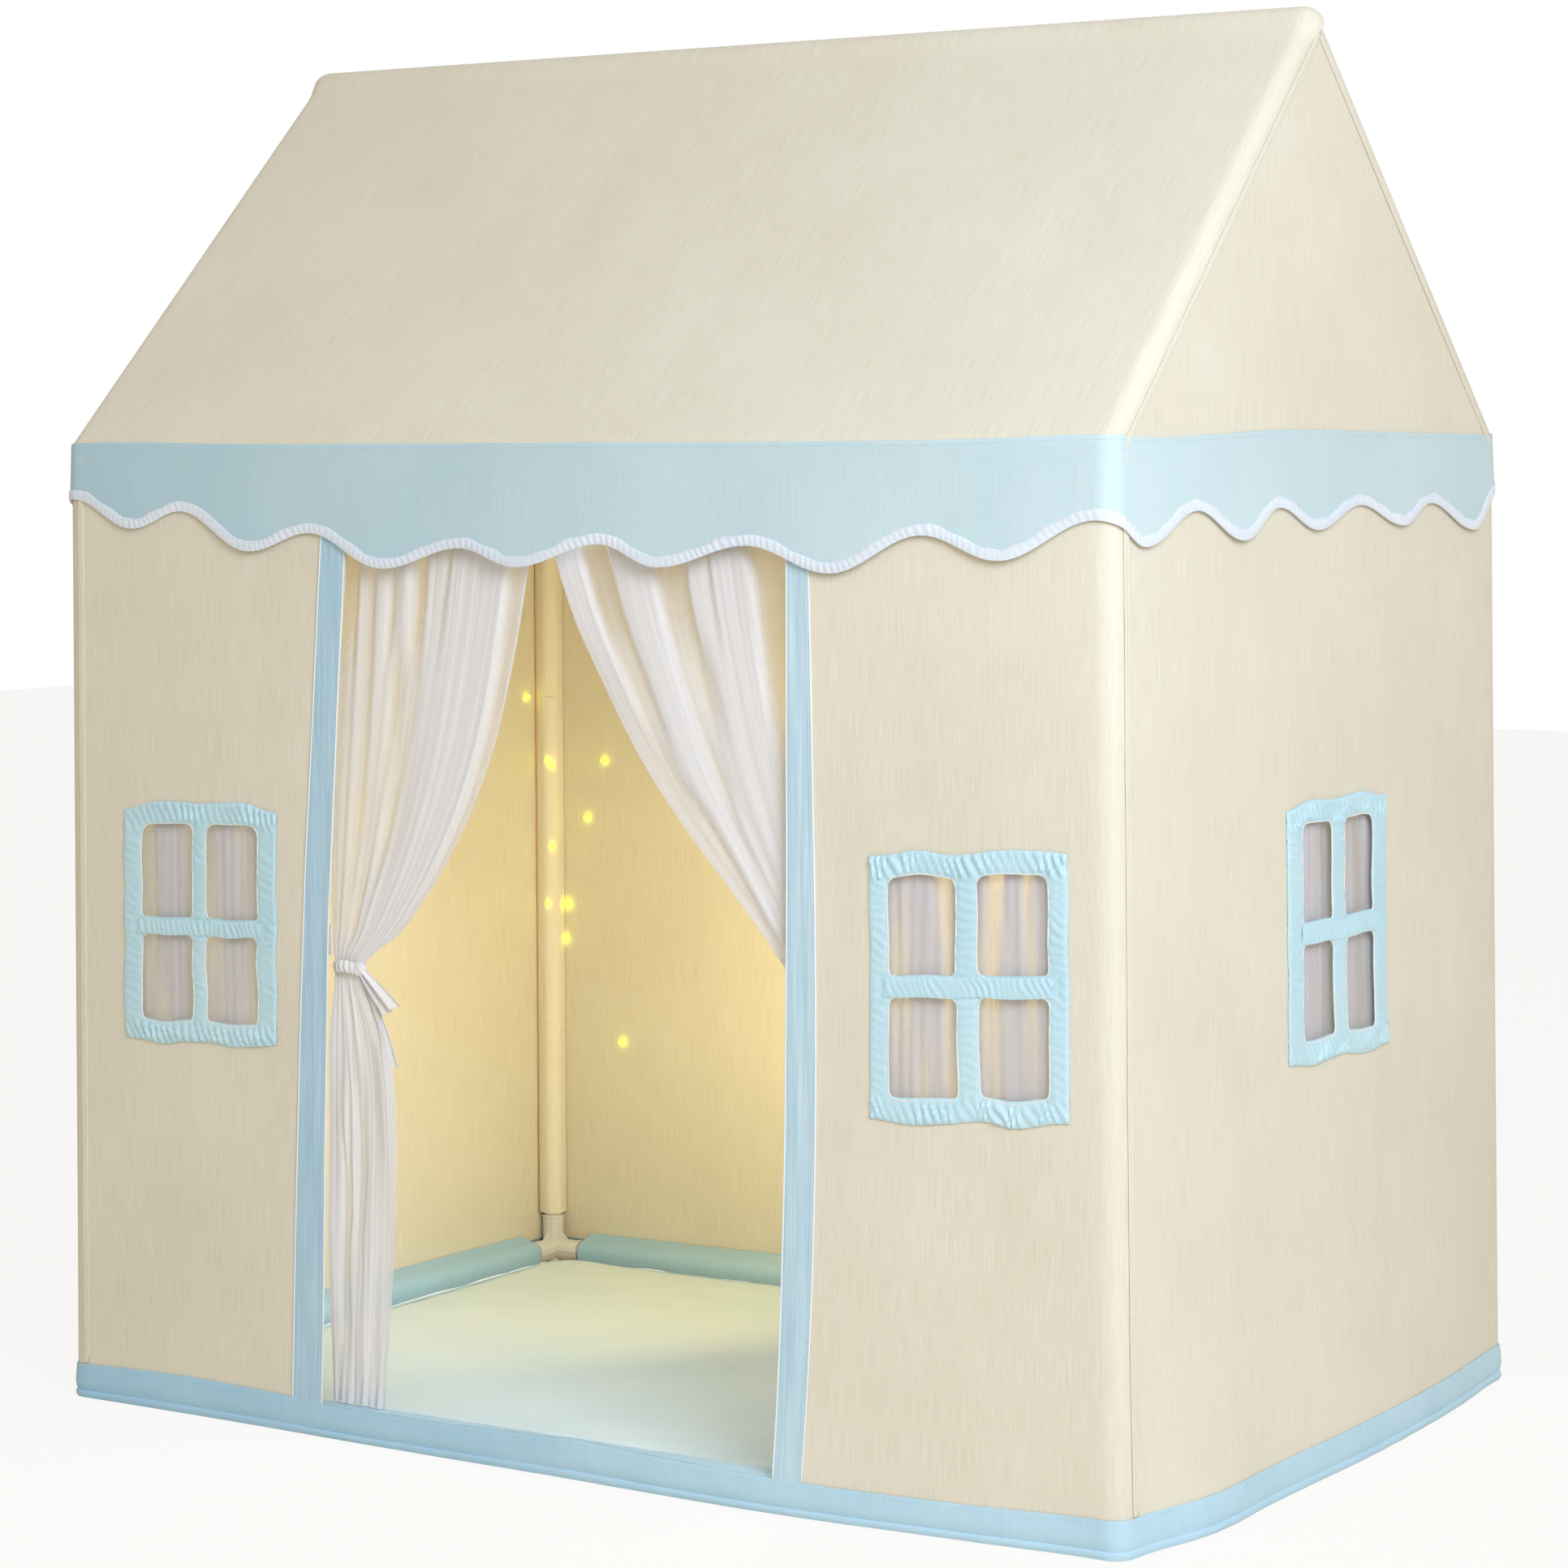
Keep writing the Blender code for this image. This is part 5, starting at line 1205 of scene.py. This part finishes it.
LEFT_SEEN_EDGE = ((0.030, -0.2725), (0.475, -0.2670), (0.560, -0.2645), (0.700, -0.2560), (0.915, -0.2440))
RIGHT_SEEN_EDGE = ((0.030, 0.3200), (0.475, 0.3130), (0.560, 0.3030), (0.700, 0.2900), (0.915, 0.2740))
RIGHT_INNER_EDGE = (
    (0.030, 0.2680), (0.150, 0.2650), (0.300, 0.2660), (0.400, 0.2760), (0.440, 0.2850), (0.456, 0.2870),
    (0.470, 0.2700), (0.485, 0.2540), (0.511, 0.2320), (0.550, 0.1970), (0.607, 0.1440), (0.664, 0.0990),
    (0.731, 0.0580), (0.790, 0.0260), (0.843, 0.0050), (0.915, -0.0140),
)
RIGHT_JAMB_EDGE = (
    (0.030, 0.3200), (0.200, 0.3230), (0.380, 0.3200), (0.440, 0.3150), (0.456, 0.3150), (0.475, 0.3130),
    (0.560, 0.3030), (0.700, 0.2900), (0.915, 0.2740),
)
LEFT_FOLDS = (
    (0.03, (
        (0, 0.70), (0.08, 0.60), (0.16, 0.35), (0.24, 0.50), (0.30, 0.85), (0.45, 0.72), (0.60, 0.85), (0.72, 0.70),
        (0.85, 0.55), (1, 0.62),
    )),
    (0.14, (
        (0, 0.72), (0.10, 0.62), (0.20, 0.40), (0.30, 0.45), (0.34, 0.90), (0.50, 0.70), (0.66, 0.85), (0.74, 0.60),
        (0.9, 0.50), (1, 0.60),
    )),
    (0.24, (
        (0, 0.92), (0.14, 0.85), (0.18, 0.25), (0.29, 0.18), (0.34, 0.92), (0.42, 0.65), (0.64, 0.80), (0.80, 0.68),
        (0.9, 0.60), (1, 0.70),
    )),
    (0.31, (
        (0, 0.95), (0.22, 0.97), (0.28, 0.55), (0.33, 0.92), (0.42, 0.62), (0.66, 0.75), (0.80, 0.80), (0.92, 0.68),
        (1, 0.75),
    )),
    (0.40, (
        (0, 0.97), (0.30, 0.98), (0.38, 0.60), (0.46, 0.95), (0.60, 0.75), (0.72, 0.90), (0.84, 0.60), (1, 0.72),
    )),
    (0.46, ((0, 0.95), (1, 0.98))),
    (0.50, ((0, 0.55), (0.10, 0.72), (0.22, 0.60), (0.30, 0.55), (0.36, 0.97), (0.9, 0.98), (0.94, 0.75), (1, 0.80))),
    (0.60, (
        (0, 0.62), (0.08, 0.70), (0.16, 0.45), (0.24, 0.66), (0.34, 0.70), (0.40, 0.48), (0.50, 0.80), (0.58, 0.97),
        (0.90, 0.98), (0.945, 0.55), (1, 0.60),
    )),
    (0.72, (
        (0, 0.55), (0.08, 0.74), (0.15, 0.50), (0.20, 0.78), (0.28, 0.72), (0.33, 0.35), (0.40, 0.74), (0.46, 0.60),
        (0.50, 0.90), (0.60, 0.98), (0.90, 0.98), (0.935, 0.48), (1, 0.52),
    )),
    (0.80, (
        (0, 0.20), (0.05, 0.30), (0.08, 0.76), (0.12, 0.55), (0.15, 0.35), (0.18, 0.80), (0.24, 0.84), (0.26, 0.40),
        (0.30, 0.80), (0.37, 0.85), (0.40, 0.25), (0.44, 0.30), (0.48, 0.80), (0.56, 0.70), (0.60, 0.95),
        (0.75, 0.90), (0.89, 0.97), (0.92, 0.42), (1, 0.48),
    )),
    (0.90, (
        (0, 0.12), (0.045, 0.15), (0.06, 0.70), (0.11, 0.72), (0.13, 0.15), (0.155, 0.78), (0.23, 0.85),
        (0.25, 0.20), (0.27, 0.82), (0.355, 0.88), (0.38, 0.15), (0.44, 0.18), (0.455, 0.80), (0.55, 0.82),
        (0.57, 0.30), (0.60, 0.92), (0.72, 0.90), (0.75, 0.70), (0.80, 0.95), (0.89, 0.95), (0.92, 0.35), (1, 0.45),
    )),
)
RIGHT_FOLDS = (
    (0.03, ((0, 0.70), (0.3, 0.85), (0.5, 0.5), (0.7, 0.85), (1, 0.65))),
    (0.35, ((0, 0.90), (0.3, 0.7), (0.5, 0.92), (0.8, 0.70), (1, 0.85))),
    (0.46, ((0, 0.95), (1, 0.97))),
    (0.52, ((0, 0.80), (0.2, 0.95), (0.7, 0.98), (0.80, 0.92), (0.88, 0.70), (1, 0.74))),
    (0.60, (
        (0, 0.40), (0.10, 0.45), (0.16, 0.92), (0.55, 0.98), (0.62, 0.80), (0.70, 0.95), (0.80, 0.62), (1, 0.66),
    )),
    (0.66, (
        (0, 0.25), (0.14, 0.20), (0.22, 0.88), (0.50, 0.97), (0.58, 0.70), (0.66, 0.95), (0.80, 0.92), (0.86, 0.60),
        (1, 0.66),
    )),
    (0.74, (
        (0, 0.20), (0.05, 0.38), (0.08, 0.18), (0.19, 0.18), (0.24, 0.90), (0.38, 0.96), (0.44, 0.85), (0.52, 0.45),
        (0.60, 0.70), (0.64, 0.95), (0.76, 0.92), (0.80, 0.50), (0.86, 0.45), (0.90, 0.88), (1, 0.70),
    )),
    (0.82, (
        (0, 0.15), (0.045, 0.42), (0.06, 0.15), (0.20, 0.15), (0.22, 0.90), (0.37, 0.92), (0.39, 0.70), (0.47, 0.92),
        (0.50, 0.25), (0.60, 0.35), (0.62, 0.95), (0.77, 0.92), (0.80, 0.15), (0.88, 0.15), (0.90, 0.90), (1, 0.82),
    )),
    (0.90, (
        (0, 0.15), (0.06, 0.30), (0.10, 0.15), (0.22, 0.15), (0.24, 0.90), (0.37, 0.90), (0.385, 0.35), (0.40, 0.90),
        (0.46, 0.90), (0.48, 0.15), (0.59, 0.25), (0.61, 0.92), (0.78, 0.92), (0.80, 0.12), (0.885, 0.15),
        (0.90, 0.90), (1, 0.82),
    )),
)
curtain_net = net_cloth("curtain_net", (0.890, 0.870, 0.900), 0.13, 0.90, 0.010)
CURTAIN_FLAT = 0.30


def curtain(side, jamb_edge, seen_edge, inner_edge, folds, seed):
    """One drawn curtain: broad folds that come forward where they are dense, fine pleats, and a narrow hem."""
    levels = steps(CURTAIN_FOOT, 0.009, 0.42, 0.004, 0.50, 0.008, CURTAIN_TOP)
    u = np.concatenate((np.linspace(0, 0.985, 250), np.linspace(0.989, 1, 5)))[:, None]
    z = levels[None, :]
    jamb, seen, inner = (smooth_line(z, edge) for edge in (jamb_edge, seen_edge, inner_edge))
    waist = np.exp(-(((z - WAIST_Z) / 0.040) ** 2))
    x = between(jamb, inner, u)
    across, z_all = np.broadcast_arrays(np.clip((x - seen) / (inner - seen), 0, 1), z)
    dense = soften(folds_table(across, z_all, folds).reshape(x.shape), 3)
    below = np.clip((0.43 - z) / 0.06, 0, 1)
    dense = dense + below * (0.97 - dense) * 0.5
    x = x + 0.0016 * below * ripple(u * 0.5, z, seed, 0.10) * np.sin(np.pi * u)
    fine = 0.0008 * ripple(u, z * 0.10, seed + 1, 0.075) * (1 - 0.4 * waist) * (1 - 0.5 * below)
    finer = 0.0003 * ripple(u, z * 0.06, seed + 2, 0.030) * np.clip((z - 0.55) / 0.3, 0.3, 1)
    hump = dense - dense.min()
    y = CURTAIN_Y - 0.0120 * hump * (1 - 0.45 * waist) - 0.0015 * waist + fine + finer
    y = y + 0.0030 * below * ripple(u * 0.4, z * 0.6, seed + 3, 0.16)
    pool = np.exp(-((z - CURTAIN_FOOT) / 0.022))
    y = np.clip(y + pool * 0.004 * ripple(u * 2, z, seed + 4, 0.25), CURTAIN_FRONT, CURTAIN_BACK)
    low_edge = 0.0035 * ripple(u, 0.0, seed + 5, 0.22) * np.clip(1 - (z - CURTAIN_FOOT) / 0.1, 0, 1)
    face = together(x, y, z + abs(low_edge))
    dense = np.where((u > 0.987) | (z < CURTAIN_FOOT + 0.008), 0.5 + 0.5 * dense, dense)
    cut = together(u * CURTAIN_FLAT, z)
    if side == "right":
        face, cut, dense = face[::-1], cut[::-1], dense[::-1]
    return set_density(cloth_piece(side + "_curtain_net", face, 0.0003, curtain_net, cut=cut, crisp=80.0), dense)


for side, jamb_edge, seen_edge, inner_edge, folds, seed in (
    ("left", LEFT_JAMB_EDGE, LEFT_SEEN_EDGE, LEFT_INNER_EDGE, LEFT_FOLDS, 111),
    ("right", RIGHT_JAMB_EDGE, RIGHT_SEEN_EDGE, RIGHT_INNER_EDGE, RIGHT_FOLDS, 131),
):
    piece = curtain(side, jamb_edge, seen_edge, inner_edge, folds, seed)
    fixed(piece, side + "_curtain", "white_tulle", side + "_curtain")

# Curtain ties. A strip of the same tulle round each waist, knotted at its side, with a loose tail that flares out
# from the knot and a longer end that hangs down. It holds the curtain to a small loop on the jamb.
TIE_Z = 0.4545
TIE_Y = -0.3972
KNOT_Z = 0.4530
KNOT_Y = -0.3990
tie_net = net_cloth("tie_net", (0.90, 0.885, 0.905), 0.30, 0.97, 0.004)
for side, middle_x, knot_x, seed in (("left", -0.2490, -0.2350, 151), ("right", 0.3010, 0.3150, 161)):
    turn = np.linspace(0, 2 * math.pi, 96, endpoint=False)[:, None]
    up = np.linspace(-1, 1, 11)[None, :]
    pinch = 0.0007 * np.sin(turn * 17 + 1.0 + up) + 0.0005 * ripple(turn, up * 0.4, seed, 1.1)
    belly = 0.0014 * (1 - up**2) + pinch
    face = together(
        middle_x + (0.0168 + belly) * np.cos(turn), TIE_Y + (0.0075 + belly) * np.sin(turn),
        TIE_Z + 0.0058 * up + 0.0012 * np.sin(turn * 3 + seed),
    )
    tie = cloth_piece(side + "_tie_band", face, 0.0010, tie_net, loop=True, crisp=80.0)
    set_density(tie, 0.85 + 0.15 * np.sin(turn * 17 + up * 0))
    fixed(tie, side + "_curtain", "white_tulle", side + "_tie")
    around = np.linspace(0, 2 * math.pi, 28, endpoint=False)[:, None]
    rise = np.linspace(-1, 1, 15)[None, :]
    girth = np.sqrt(np.clip(1 - (rise * 0.985) ** 2, 0, 1)) * (1 + 0.13 * np.sin(around * 5 + 3 * rise))
    knot_face = together(
        knot_x + 0.0062 * girth * np.cos(around), KNOT_Y + 0.0056 * girth * np.sin(around), KNOT_Z + 0.0075 * rise,
    )
    knot = cloth_piece(side + "_tie_knot", knot_face, 0.0008, tie_net, loop=True, crisp=80.0)
    fixed(set_density(knot, 0.9 + 0 * girth), side + "_curtain", "white_tulle")
    for label, tips, fold_count in (
        ("tail", ((0.0030, 0.0020, 0.0440, -0.0330), (0.0010, -0.0040, 0.0270, -0.0440)), 4),
        ("end", ((0.0020, -0.0020, 0.0390, -0.0960), (-0.0020, -0.0050, 0.0250, -0.0840)), 3),
    ):
        (top_x, top_z, tip_x, tip_z), (under_x, under_z, low_x, low_z) = tips
        along = np.linspace(0, 1, 34)[:, None]
        across = np.linspace(0, 1, 22)[None, :]
        curl = 0.004 * np.sin(np.pi * along) if label == "tail" else -0.010 * np.sin(np.pi * along)
        x = knot_x + between(top_x + (tip_x - top_x) * along, under_x + (low_x - under_x) * along, across)
        z = KNOT_Z + between(top_z + (tip_z - top_z) * along, under_z + (low_z - under_z) * along, across)
        x = x - curl * 0.8 * (1 - 0.6 * across)
        z = z + curl * (1 - across)
        lay = -0.4005 if label == "tail" else -0.3975
        y = lay + (0.0022 + 0.0030 * along) * np.sin(fold_count * np.pi * across + 0.6) + 0.0040 * along
        tail_face = together(x, np.clip(y, -0.4068, -0.3858), z)
        tail = cloth_piece("%s_tie_%s" % (side, label), tail_face[:, ::-1], 0.0003, tie_net, crisp=80.0)
        thin_out = 0.95 - 0.45 * along + 0.20 * np.sin(fold_count * np.pi * across + 0.6)
        fixed(set_density(tail, np.clip(thin_out, 0.2, 1)[:, ::-1]), side + "_curtain", "white_tulle")

# Loops. A short flat loop of the same tulle, sewn inside each jamb, that the tie goes through.
LOOP_FOOT = 0.4654
LOOP_TALL = 0.03
LOOP_Y = -0.4074
for side, place in (("left", -0.2664), ("right", 0.2741)):
    z = np.linspace(LOOP_FOOT, LOOP_FOOT + LOOP_TALL, 14)[None, :]
    x = place + np.linspace(-0.0038, 0.0038, 7)[:, None]
    y = LOOP_Y - 0.0004 * np.sin(np.pi * (z - LOOP_FOOT) / LOOP_TALL)
    loop_piece = cloth_piece(side + "_tie_loop", together(x, y, z), 0.0006, tie_net)
    fixed(set_density(loop_piece, 0.9 + 0 * x + 0 * z), "tent", "white_tulle", side + "_tie_tab")

# Floor mat. A thin padded mat with a pale blue-green cotton cover over wadding, loose on the ground inside the
# frame. Nothing quilts it but its edge seam, so it swells a little and lies in soft rumples.
mat_cotton = woven_cotton(
    "mat_cotton", (0.780, 0.900, 0.950), (0.680, 0.830, 0.900), 0.30, 0.0024, 0.0012, 0.20, 0.90, 0.20, flat=True
)
MAT_VOXEL = 0.0060
MAT_MOVE = 0.0040
SWELL_FRAMES = 20
mat_low, mat_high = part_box("floor_mat")
low_x, high_x = mat_low.x - 0.0080, mat_high.x + 0.0080
low_y, high_y = mat_low.y - 0.018, mat_high.y + 0.0020
MAT_CORNER = 0.026
MAT_ROUND = 0.018
MAT_SEAM_Z = 0.0062
grid_x, grid_y = np.meshgrid(np.linspace(low_x, high_x, 186), np.linspace(low_y, high_y, 121), indexing="ij")
to_edge = np.minimum.reduce((grid_x - low_x, high_x - grid_x, grid_y - low_y, high_y - grid_y))
crown = np.sqrt(np.clip(1 - (1 - np.clip(to_edge / MAT_ROUND, 0, 1)) ** 2, 0, 1))
front = np.exp(-((grid_y - mat_low.y) / 0.15))
rumple = 0.0008 * ripple(grid_x, grid_y, 171, 0.24) + 0.0007 * ripple(grid_x, grid_y * 1.8, 172, 0.085)
rumple = rumple + front * 0.0022 * ripple(grid_x * 1.3, grid_y * 2.2, 175, 0.105)
mid_x, mid_y = (low_x + high_x) / 2, (low_y + high_y) / 2
past_x = np.maximum(abs(grid_x - mid_x) - (high_x - mid_x - MAT_CORNER), 0)
past_y = np.maximum(abs(grid_y - mid_y) - (high_y - mid_y - MAT_CORNER), 0)
in_corner = (past_x > 0) & (past_y > 0)
pull = np.where(in_corner, np.maximum(past_x, past_y) / np.maximum(np.hypot(past_x, past_y), 1e-9), 1.0)
grid_x = grid_x - np.sign(grid_x - mid_x) * past_x * (1 - pull)
grid_y = grid_y - np.sign(grid_y - mid_y) * past_y * (1 - pull)
count = grid_x.size
index = np.arange(count).reshape(grid_x.shape)
upper = together(index[:-1, :-1], index[1:, :-1], index[1:, 1:], index[:-1, 1:]).reshape(-1, 4)
rim = np.concatenate((index[:, 0], index[-1, 1:], index[-2::-1, -1], index[0, -2:0:-1]))
rim_next = np.roll(rim, -1)
mat_top = together(grid_x, grid_y, 0.0060 + crown * (0.0042 + rumple)).reshape(-1, 3)
mat_under = together(grid_x, grid_y, 0.0050 - crown * 0.0042).reshape(-1, 3)
mat_mesh = bpy.data.meshes.new("floor_mat_pad")
mat_mesh.from_pydata(
    np.concatenate((mat_top, mat_under)).tolist(), [],
    np.concatenate((upper, upper[:, ::-1] + count, together(rim, rim + count, rim_next + count, rim_next))).tolist(),
)
mat_mesh.materials.append(mat_cotton)
mat_mesh.shade_smooth()
mat = add_to_scene("floor_mat_pad", mat_mesh)


def plain_mesh(piece):
    """Turns a piece with its modifiers into a plain mesh."""
    bpy.context.view_layer.update()
    baked = bpy.data.meshes.new_from_object(piece.evaluated_get(bpy.context.evaluated_depsgraph_get()))
    piece.modifiers.clear()
    piece.data = baked


remesh = mat.modifiers.new("even_cells", "REMESH")
remesh.mode = "VOXEL"
remesh.voxel_size = MAT_VOXEL
remesh.use_smooth_shade = True
plain_mesh(mat)
start = np.empty(len(mat.data.vertices) * 3, np.float32)
mat.data.vertices.foreach_get("co", start)
swell = mat.modifiers.new("swell", "CLOTH")
swell.settings.quality = 5
swell.settings.use_pressure = True
swell.settings.uniform_pressure_force = 4.0
swell.settings.effector_weights.gravity = 0.0
swell.point_cache.frame_start = 1
swell.point_cache.frame_end = SWELL_FRAMES
for step in range(SWELL_FRAMES):
    scene.frame_set(step + 1)
swollen = mat.evaluated_get(bpy.context.evaluated_depsgraph_get()).data
moved = np.empty(len(swollen.vertices) * 3, np.float32)
swollen.vertices.foreach_get("co", moved)
mat.modifiers.clear()
scene.frame_set(1)
change = (moved - start).reshape(-1, 3)
reach = np.linalg.norm(change, axis=1, keepdims=True)
change *= np.minimum(1.0, MAT_MOVE / np.maximum(reach, 1e-9))
settled = start.reshape(-1, 3) + change
settled[:, 2] = np.maximum(settled[:, 2], 0.0005)
mat.data.vertices.foreach_set("co", settled.ravel())
mat.data.update()
mat.data.name = "floor_mat_pad"
fixed(mat, "floor_mat", "mat_cotton", "floor_mat")
seam_line = evenly(rounded_ring(low_x, high_x, low_y, high_y, MAT_CORNER, -0.5, 9), 620)
seam_line = together(seam_line[:, 0], seam_line[:, 1], MAT_SEAM_Z)
mat_piping = cord_along("floor_mat_piping", seam_line, 0.0021, blue_cotton, closed=True, sides=10)
fixed(mat_piping, "floor_mat", "mat_cotton")

# Light beads. Ten tiny warm-white lamps of a battery string rest on the inside of the back left corner, on the
# post sleeve and on both walls. Each is a drop of clear resin; their hair-thin wire is left out.
bead_glow, node, shade = new_finish("bead_glow")
cloud = node("TexNoise", "Fac", {"Vector": node("TexCoord", "Object"), "Scale": 320.0})
warm_white = blend(node, cloud, (0.900, 1.000, 0.022), (1.000, 1.000, 0.050))
shade({"Base Color": warm_white, "Emission Color": warm_white, "Emission Strength": 5.0, "Roughness": 0.2})
BEAD_PLACES = (
    (-0.5966, 0.3674, 0.6619), (-0.5798, 0.3820, 0.5876), (-0.5745, 0.3857, 0.5817), (-0.5166, 0.4059, 0.5881),
    (-0.5416, 0.4059, 0.5209), (-0.5749, 0.3851, 0.4869), (-0.5801, 0.3819, 0.4205), (-0.5694, 0.4059, 0.4178),
    (-0.5741, 0.4054, 0.3776), (-0.4940, 0.4059, 0.2615),
)


def geometry_tree(name, **inputs):
    """A new tree of Geometry Nodes with a mesh and the named inputs in: itself, a maker of nodes and its inputs."""
    tree = bpy.data.node_groups.new(name, "GeometryNodeTree")
    tree.interface.new_socket("Geometry", in_out="INPUT", socket_type="NodeSocketGeometry")
    for label, kind in inputs.items():
        tree.interface.new_socket(label, in_out="INPUT", socket_type="NodeSocket" + kind)
    tree.interface.new_socket("Geometry", in_out="OUTPUT", socket_type="NodeSocketGeometry")
    return tree, node_maker(tree, ""), tree.nodes.new("NodeGroupInput").outputs


def give_out(tree, node, instances, material):
    """Ends a tree: its instances become one smooth mesh of a material."""
    real = node("GeometryNodeRealizeInstances", "Geometry", {"Geometry": instances})
    smooth = node("GeometryNodeSetShadeSmooth", "Geometry", {"Geometry": real})
    painted = node("GeometryNodeSetMaterial", "Geometry", {"Geometry": smooth, "Material": material})
    feed(tree, tree.nodes.new("NodeGroupOutput"), {"Geometry": painted})


def grow(piece, tree, **values):
    """Runs a tree on a piece with the given inputs and keeps the result as a plain mesh."""
    modifier = piece.modifiers.new(tree.name, "NODES")
    modifier.node_group = tree
    for item in tree.interface.items_tree:
        if item.in_out == "INPUT" and item.name in values:
            modifier[item.identifier] = values[item.name]
    plain_mesh(piece)
    piece.data.name = piece.name
    return piece


bead_maker, node, taken = geometry_tree("string_of_beads", Radius="Float", Glow="Material")
drop = node("GeometryNodeMeshIcoSphere", "Mesh", {"Radius": taken["Radius"], "Subdivisions": 3})
drops = node("GeometryNodeInstanceOnPoints", "Instances", {"Points": taken["Geometry"], "Instance": drop})
give_out(bead_maker, node, drops, taken["Glow"])
bead_mesh = bpy.data.meshes.new("light_beads")
bead_mesh.from_pydata(BEAD_PLACES, [], [])
beads = add_to_scene("light_beads", bead_mesh)
grow(beads, bead_maker, Radius=0.0030, Glow=bead_glow)
fixed(beads, "tent", "white_tulle")

# Stitching. Polyester thread, single rows of short lock stitches: along the valance and its binding, the hem, the
# door facings, the window bands and the felled seams. Each stitch is a tiny flattened bead of thread.
thread_maker, node, taken = geometry_tree(
    "lock_stitches", Stitch="Float", Pitch="Float", Thread="Float", Material="Material"
)
curve = node("GeometryNodeMeshToCurve", "Curve", {"Mesh": taken["Geometry"]})
spaced = node("GeometryNodeCurveToPoints", "Points", {"Curve": curve, "Length": taken["Pitch"]}, mode="LENGTH")
tangent = spaced.node.outputs["Tangent"]
turned = node("FunctionNodeAlignRotationToVector", "Rotation", {"Vector": tangent}, axis="X")
half_stitch = node("ShaderNodeMath", 0, {0: taken["Stitch"], 1: 0.5}, operation="MULTIPLY")
size = node("ShaderNodeCombineXYZ", "Vector", {"X": half_stitch, "Y": taken["Thread"], "Z": taken["Thread"]})
stitch = node("GeometryNodeMeshUVSphere", "Mesh", {"Segments": 6, "Rings": 4, "Radius": 1.0})
stitches = node(
    "GeometryNodeInstanceOnPoints", "Instances",
    {"Points": spaced, "Instance": stitch, "Rotation": turned, "Scale": size},
)
give_out(thread_maker, node, stitches, taken["Material"])


def thread_finish(name, pale, deep):
    """Twisted sewing thread: a soft sheen and a fine unevenness."""
    thread, node, shade = new_finish(name)
    twist = node("TexNoise", "Fac", {"Vector": node("TexCoord", "Object"), "Scale": 1800.0})
    shade({"Base Color": blend(node, twist, deep, pale), "Roughness": 0.55, "Sheen Weight": 0.2})
    return thread


def sew_rows(name, rows, stitch_length, pitch, finish, slot_name):
    """Sews rows of stitches along lines of points and fixes them to the tent."""
    points, edges = [], []
    for row, closed in rows:
        first = len(points)
        points.extend(np.asarray(row).tolist())
        edges.extend((first + k, first + k + 1) for k in range(len(row) - 1))
        if closed:
            edges.append((len(points) - 1, first))
    mesh = bpy.data.meshes.new(name)
    mesh.from_pydata(points, edges, [])
    piece = grow(
        add_to_scene(name, mesh), thread_maker, Stitch=stitch_length, Pitch=pitch, Thread=THREAD, Material=finish
    )
    return fixed(piece, "tent", slot_name)


THREAD = 0.00028
cream_thread = thread_finish("cream_thread", (0.90, 0.87, 0.80), (0.78, 0.74, 0.66))
blue_thread = thread_finish("blue_thread", (0.62, 0.80, 0.88), (0.48, 0.68, 0.78))
white_thread = thread_finish("white_thread", (0.92, 0.94, 0.97), (0.80, 0.84, 0.90))
row_s = all_round(1600)
valance_row = on_valance(row_s, smooth_line(np.mod(row_s, half_way), VALANCE_TOP) - 0.0040, 0.0002)
up = 0.0074
tape_row = on_valance(tape_s - up * tape_run[:, 1], tape_z + up * tape_run[:, 0], 0.0012)
hem_row = on_cover(row_s, smooth_line(np.mod(row_s, AROUND), HEM_TOP) - 0.0024, 0.0017)
sew_rows("valance_stitching", [(valance_row, True)], 0.0026, 0.0036, blue_thread, "blue_cotton")
sew_rows("binding_stitching", [(tape_row, True)], 0.0024, 0.0034, white_thread, "blue_cotton")
sew_rows("hem_stitching", [(hem_row, True)], 0.0026, 0.0036, blue_thread, "blue_cotton")
facing_rows = []
for line, shift in ((LEFT_OUTER, 0.0032), (LEFT_INNER, -0.0032), (RIGHT_INNER, 0.0030), (RIGHT_OUTER, -0.0030)):
    facing_rows.append((on_cover(smooth_line(trim_levels, line) + shift, trim_levels, 0.0019), False))
sew_rows("facing_stitching", facing_rows, 0.0026, 0.0036, blue_thread, "blue_cotton")
sew_rows("seam_stitching", [(row, False) for row in seam_rows], 0.0026, 0.0036, cream_thread, "cream_canvas")
sew_rows("window_stitching", [(row, True) for row in window_rows], 0.0022, 0.0032, white_thread, "blue_cotton")
